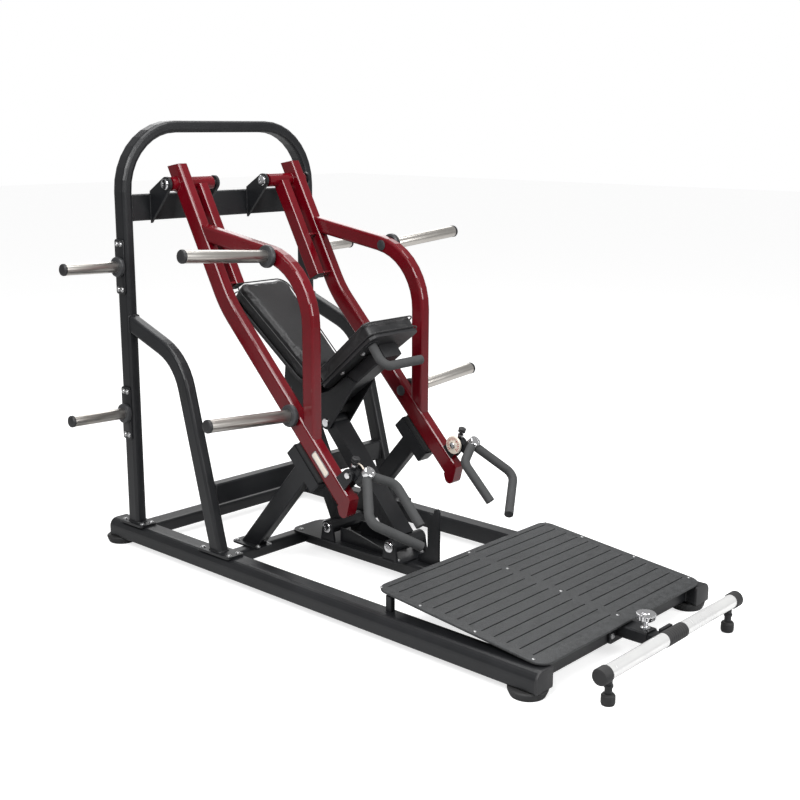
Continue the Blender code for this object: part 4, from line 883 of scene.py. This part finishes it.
def makeSeatFittings():
    underSeat = -0.065 - 0.012 - 0.0006
    leg, low = 0.365, underSeat - 0.105
    corners = [(leg, -0.1, underSeat - 0.001), (leg, -0.1, low), (leg, 0.12, low)]
    points = [seatFrame @ Vector(corner) for corner in corners]
    handle = rod("seatHandle", rounded(points, 0.045, 12), 0.019, smoothness=8)
    roundEnds(handle, 0.004)
    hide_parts("seat_handle")
    done(handle, "gripFoam", "seat_carriage", 40)
    flange = turned("seatHandleFlange", [(0, 0.033), (0.001, 0.034), (0.004, 0.034), (0.0052, 0.032),
        (0.0052, 0.0192)])
    down = -(seatFrame.to_3x3() @ upAxis)
    flange.data.transform(standing(seatFrame @ Vector((leg, -0.1, underSeat)), down))
    done(flange, "charcoalCoat", "seat_carriage")

    capEnd = block("seatArmCap", (0.059, 0.101, 0.004), 0.006, 0.0015, at=seatFrame
        @ Matrix.Translation((0.347 + 0.0021, 0, underSeat - 0.03)) @ Matrix.Rotation(math.pi / 2, 4, "Y"))
    spineCap = block("spineCap", (0.039, 0.101, 0.004), 0.006, 0.0015, at=backFrame
        @ Matrix.Translation((-0.44 - 0.0021, 0, -0.0826 - 0.02)) @ Matrix.Rotation(math.pi / 2, 4, "Y"))
    for cap in (capEnd, spineCap):
        done(cap, "mouldedPlastic", "seat_carriage")
    spots = [seatFrame @ Vector((x, y, underSeat)) for x in (0.14, 0.29) for y in (-0.088, 0.088)]
    bolts("seatBolts", spots, down, "seat_carriage")
    down = -(backFrame.to_3x3() @ upAxis)
    spots = [backFrame @ Vector((x, y, -0.0826)) for x in (-0.4, -0.18) for y in (-0.088, 0.088)]
    bolts("backBolts", spots, down, "seat_carriage")

    # bright caps on the four pivots of the linkage
    capLine = [(0, 0.02), (0.0008, 0.0222), (0.0062, 0.0222), (0.0084, 0.02), (0.0092, 0.015), (0.0092, 0.0085),
               (0.0078, 0.008), (0.0078, 0.002)]
    for name, station, height in (("Rear", 0.901, 0.157), ("Front", 1.259, 0.155)):
        shaft = turned(f"linkShaft{name}", [(0, 0.012), (0.001, 0.0125), (0.19, 0.0125), (0.191, 0.012)], 28,
            at=standing(spot(station, -0.0955, height), acrossAxis))
        caps = [turned(f"linkCap{name}{index}", capLine, 40) for index in (0, 1)]
        caps[0].data.transform(standing(spot(station, -0.0955, height), -acrossAxis))
        caps[1].data.transform(standing(spot(station, 0.0955, height), acrossAxis))
        pivot = joined(f"linkPivot{name}", [shaft, *caps])
        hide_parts(f"link_axle_{name.lower()}")
        done(pivot, "brightChrome", mainBody, 30)
    capLine = [(0, 0.0165), (0.0008, 0.018), (0.005, 0.018), (0.0066, 0.016), (0.007, 0.006), (0.007, 0.001)]
    caps = []
    for station, height in ((0.86, 0.6), (0.63, 0.71)):
        for sign in (-1, 1):
            cap = turned(f"upperLinkCap{len(caps)}", capLine, 36,
                at=standing(spot(station, sign * 0.0582, height), (0, sign, 0)))
            caps.append(cap)
    done(joined("carriagePivotCaps", caps), "brightChrome", "seat_carriage", 30)


makeSeatFittings()
print("seat made")


# standing platform: one plate with two columns of slots, and its screws
deckSlope = math.degrees(math.atan2(0.118 - 0.192, 2.331 - 1.582))
deckFrame = slopeFrame(1.582, 0.192, deckSlope)
deckShape = {"length": 0.7526, "half": 0.52, "thick": 0.01, "corner": 0.05, "rim": 0.003, "slots": 13,
             "rearSlot": 0.03, "pitch": 0.0545, "slotWide": 0.0055, "slotDeep": 0.007, "slotFrom": 0.02,
             "slotTo": 0.484, "screwY": 0.504, "screwRuns": (0.016, 0.205, 0.455, 0.702)}


def makeDeck():
    shape = deckShape
    length, thick, wide = shape["length"], shape["thick"], shape["slotWide"]
    plate = block("deckPlate", (length, 2 * shape["half"], thick), shape["corner"], shape["rim"], 12,
        at=Matrix.Translation((length / 2, 0, -thick / 2)))
    reach = shape["slotTo"] - shape["slotFrom"]
    slot = block("slot", (wide, reach, 2 * shape["slotDeep"]), wide * 0.45, 0.0, 4)
    cutters = []
    for row in range(shape["slots"]):
        for sign in (-1, 1):
            place = (shape["rearSlot"] + shape["pitch"] * row, sign * (shape["slotFrom"] + reach / 2), 0)
            cutters.append(copyTo(slot, f"slot{len(cutters)}", Matrix.Translation(place)))
    drop(slot)
    cutter = joined("deckCutter", cutters)
    cut = plate.modifiers.new("slots", "BOOLEAN")
    cut.operation, cut.solver, cut.object = "DIFFERENCE", "EXACT", cutter
    applyAll(plate)
    drop(cutter)
    plate.data.transform(deckFrame)
    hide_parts("platform_deck")
    done(plate, "deckCoat", mainBody)
    normal = deckFrame.to_3x3() @ upAxis
    spots = [deckFrame @ Vector((run, y, 0.0002)) for run in shape["screwRuns"]
             for y in (-shape["screwY"], 0, shape["screwY"])]
    bolts("deckScrews", spots, normal, mainBody, smallScrew)


makeDeck()
print("platform made")


# sliding foot bar: bright halves, rubber middle, dark ends and legs
barShape = {"station": 2.504, "height": 0.113, "radius": 0.026, "half": 0.46, "cap": 0.045, "middle": 0.065,
            "legY": 0.4}


def makeFootBar():
    shape = barShape
    body, radius = "foot_bar", shape["radius"]
    centre = spot(shape["station"], 0, shape["height"])
    inner, outer = shape["middle"], shape["half"] - shape["cap"]
    bright = []
    for sign in (-1, 1):
        half = turned(f"brightHalf{sign}", [(inner - 0.004, radius - 0.0008), (inner - 0.003, radius),
            (outer + 0.003, radius), (outer + 0.004, radius - 0.0008)], 56, at=standing(centre, (0, sign, 0)))
        bright.append(half)
    tube = joined("footBarTubes", bright)
    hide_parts("foot_bar")
    done(tube, "polishedTube", body, 30)
    ridge = [(-inner, radius - 0.001)]
    for step in range(9):
        at = -inner + 0.004 + step * (2 * inner - 0.012) / 9
        ridge += [(at, radius + 0.0018), (at + 0.0105, radius + 0.0018), (at + 0.0115, radius + 0.0008)]
    ridge += [(inner - 0.004, radius + 0.0016), (inner, radius - 0.001)]
    middle = turned("footBarMiddle", ridge, 48, at=standing(centre, acrossAxis))
    done(middle, "softRubber", body, 30)
    reach = shape["half"]
    for side, sign in sides:
        cap = turned(f"footBarCap{side.title()}", [(outer - 0.001, radius + 0.001),
            (outer + 0.001, radius + 0.0038), (reach - 0.006, radius + 0.0038),
            (reach - 0.002, radius + 0.0015), (reach, radius - 0.004), (reach, 0.002)], 48,
            at=standing(centre, (0, sign, 0)))
        done(cap, "softRubber", body, 30)
        foot = spot(shape["station"], sign * shape["legY"], 0)
        leg = turned(f"footBarLeg{side.title()}", [(0.036, 0.013), (0.062, 0.013), (0.0625, 0.016),
            (0.07, 0.016), (0.0705, 0.0132), (0.0925, 0.0132)], 32, at=Matrix.Translation(foot))
        done(leg, "charcoalCoat", body, 30)
        pad = turned(f"footBarPad{side.title()}", [(0, 0.0195), (0.001, 0.0215), (0.0075, 0.024),
            (0.02, 0.0243), (0.033, 0.024), (0.0385, 0.02), (0.04, 0.015)], 40, at=Matrix.Translation(foot))
        done(pad, "softRubber", body, 30)
    slide = block("footBarSlide", (0.172, 0.059, 0.035), 0.0, 0.004,
        at=Matrix.Translation(spot(2.386, 0, 0.081)))
    saddle = block("footBarSaddle", (0.014, 0.068, 0.074), 0.0, 0.002,
        at=Matrix.Translation(spot(2.474, 0, 0.099)))
    done(joined("footBarArm", [slide, saddle]), "charcoalCoat", body)

    # the clamping knob: lobed head on a threaded stem
    knob = turned("clampKnob", [(0.03, 0.015), (0.032, 0.026), (0.037, 0.032), (0.04, 0.0345), (0.054, 0.0345),
        (0.0585, 0.0325), (0.06, 0.027), (0.0592, 0.017), (0.062, 0.015), (0.063, 0.011), (0.063, 0.0015)], 144)
    for vertex in knob.data.vertices:
        reach = math.hypot(vertex.co.x, vertex.co.y)
        if reach > 0.024:
            grow = 1.03 + 0.028 * math.cos(18 * math.atan2(vertex.co.y, vertex.co.x)) * min(1,
                (reach - 0.024) / 0.008)
            vertex.co.x *= grow
            vertex.co.y *= grow
    stemLine = [(0.0003, 0.0175), (0.005, 0.0175), (0.0055, 0.01)]
    for step in range(9):
        at = 0.007 + step * 0.0025
        stemLine += [(at, 0.0078), (at + 0.0012, 0.009)]
    stem = turned("clampStem", [*stemLine, (0.031, 0.008)], 32)
    place = Matrix.Translation(spot(2.394, 0, 0.1043))
    knob.data.transform(place)
    stem.data.transform(place)
    head = joined("clampKnob", [knob, stem])
    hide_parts("foot_bar_knob")
    done(head, "brightChrome", "foot_bar_knob", 40)


makeFootBar()
drop(boltHead, smallScrew)
print("foot bar made")


# floor, lights and camera
stageShape = {"floorGlow": 0.72, "backdrop": 1.0, "ambient": 0.38}


def makeStage():
    letGo()
    bpy.ops.mesh.primitive_plane_add(size=60, location=(0, 0, -0.0005))
    floor = bpy.context.object
    floor.name = "floor"
    paint = bpy.data.materials.new("paleFloor")
    paint.use_nodes = True
    shader = paint.node_tree.nodes["Principled BSDF"]
    shader.inputs["Base Color"].default_value = (0.6, 0.6, 0.6, 1)
    shader.inputs["Roughness"].default_value = 0.7
    shader.inputs["Emission Color"].default_value = (1, 1, 1, 1)
    ray = add(paint.node_tree, "LightPath")
    glow = maths(paint.node_tree, "MULTIPLY", ray.outputs["Is Camera Ray"], stageShape["floorGlow"])
    paint.node_tree.links.new(glow, shader.inputs["Emission Strength"])
    floor.data.materials.append(paint)
    world = bpy.data.worlds.new("studio")
    world.use_nodes = True
    tree = world.node_tree
    tree.nodes["Background"].inputs["Color"].default_value = (1, 1, 1, 1)
    seen = maths(tree, "MULTIPLY", add(tree, "LightPath").outputs["Is Camera Ray"],
                 stageShape["backdrop"] - stageShape["ambient"])
    tree.links.new(maths(tree, "ADD", seen, stageShape["ambient"]), tree.nodes["Background"].inputs["Strength"])
    bpy.context.scene.world = world
    lamps = (("keyLight", (1.6, -3.6, 4.0), 2.4, 230), ("sideLight", (4.4, 1.2, 2.6), 1.8, 110),
             ("backLight", (-3.4, 2.4, 3.6), 3.6, 90), ("topLight", (0.2, 0.2, 4.6), 2.6, 120))
    for name, place, size, power in lamps:
        bpy.ops.object.light_add(type="AREA", location=place)
        lamp = bpy.context.object
        lamp.name = name
        lamp.data.size = size
        lamp.data.energy = power
        lamp.rotation_euler = (Vector((0, 0, 0.8)) - Vector(place)).to_track_quat("-Z", "Y").to_euler()


def makeCamera():
    turn, pitch, roll = math.radians(42.3), math.radians(12.945), math.radians(0.234)
    bpy.ops.object.camera_add(location=(3.213, -3.547, 1.826))
    camera = bpy.context.object
    camera.name = "camera"
    camera.data.lens = 55.12
    camera.data.sensor_width = 36
    camera.data.shift_y = 0.0064
    ahead = Vector((-math.sin(turn) * math.cos(pitch), math.cos(turn) * math.cos(pitch), -math.sin(pitch)))
    camera.rotation_mode = "QUATERNION"
    camera.rotation_quaternion = ahead.to_track_quat("-Z", "Y") @ Quaternion((0, 0, 1), roll)
    bpy.context.scene.camera = camera


makeStage()
makeCamera()
bpy.context.scene.view_settings.view_transform = "Standard"
letGo()
print("stage made")
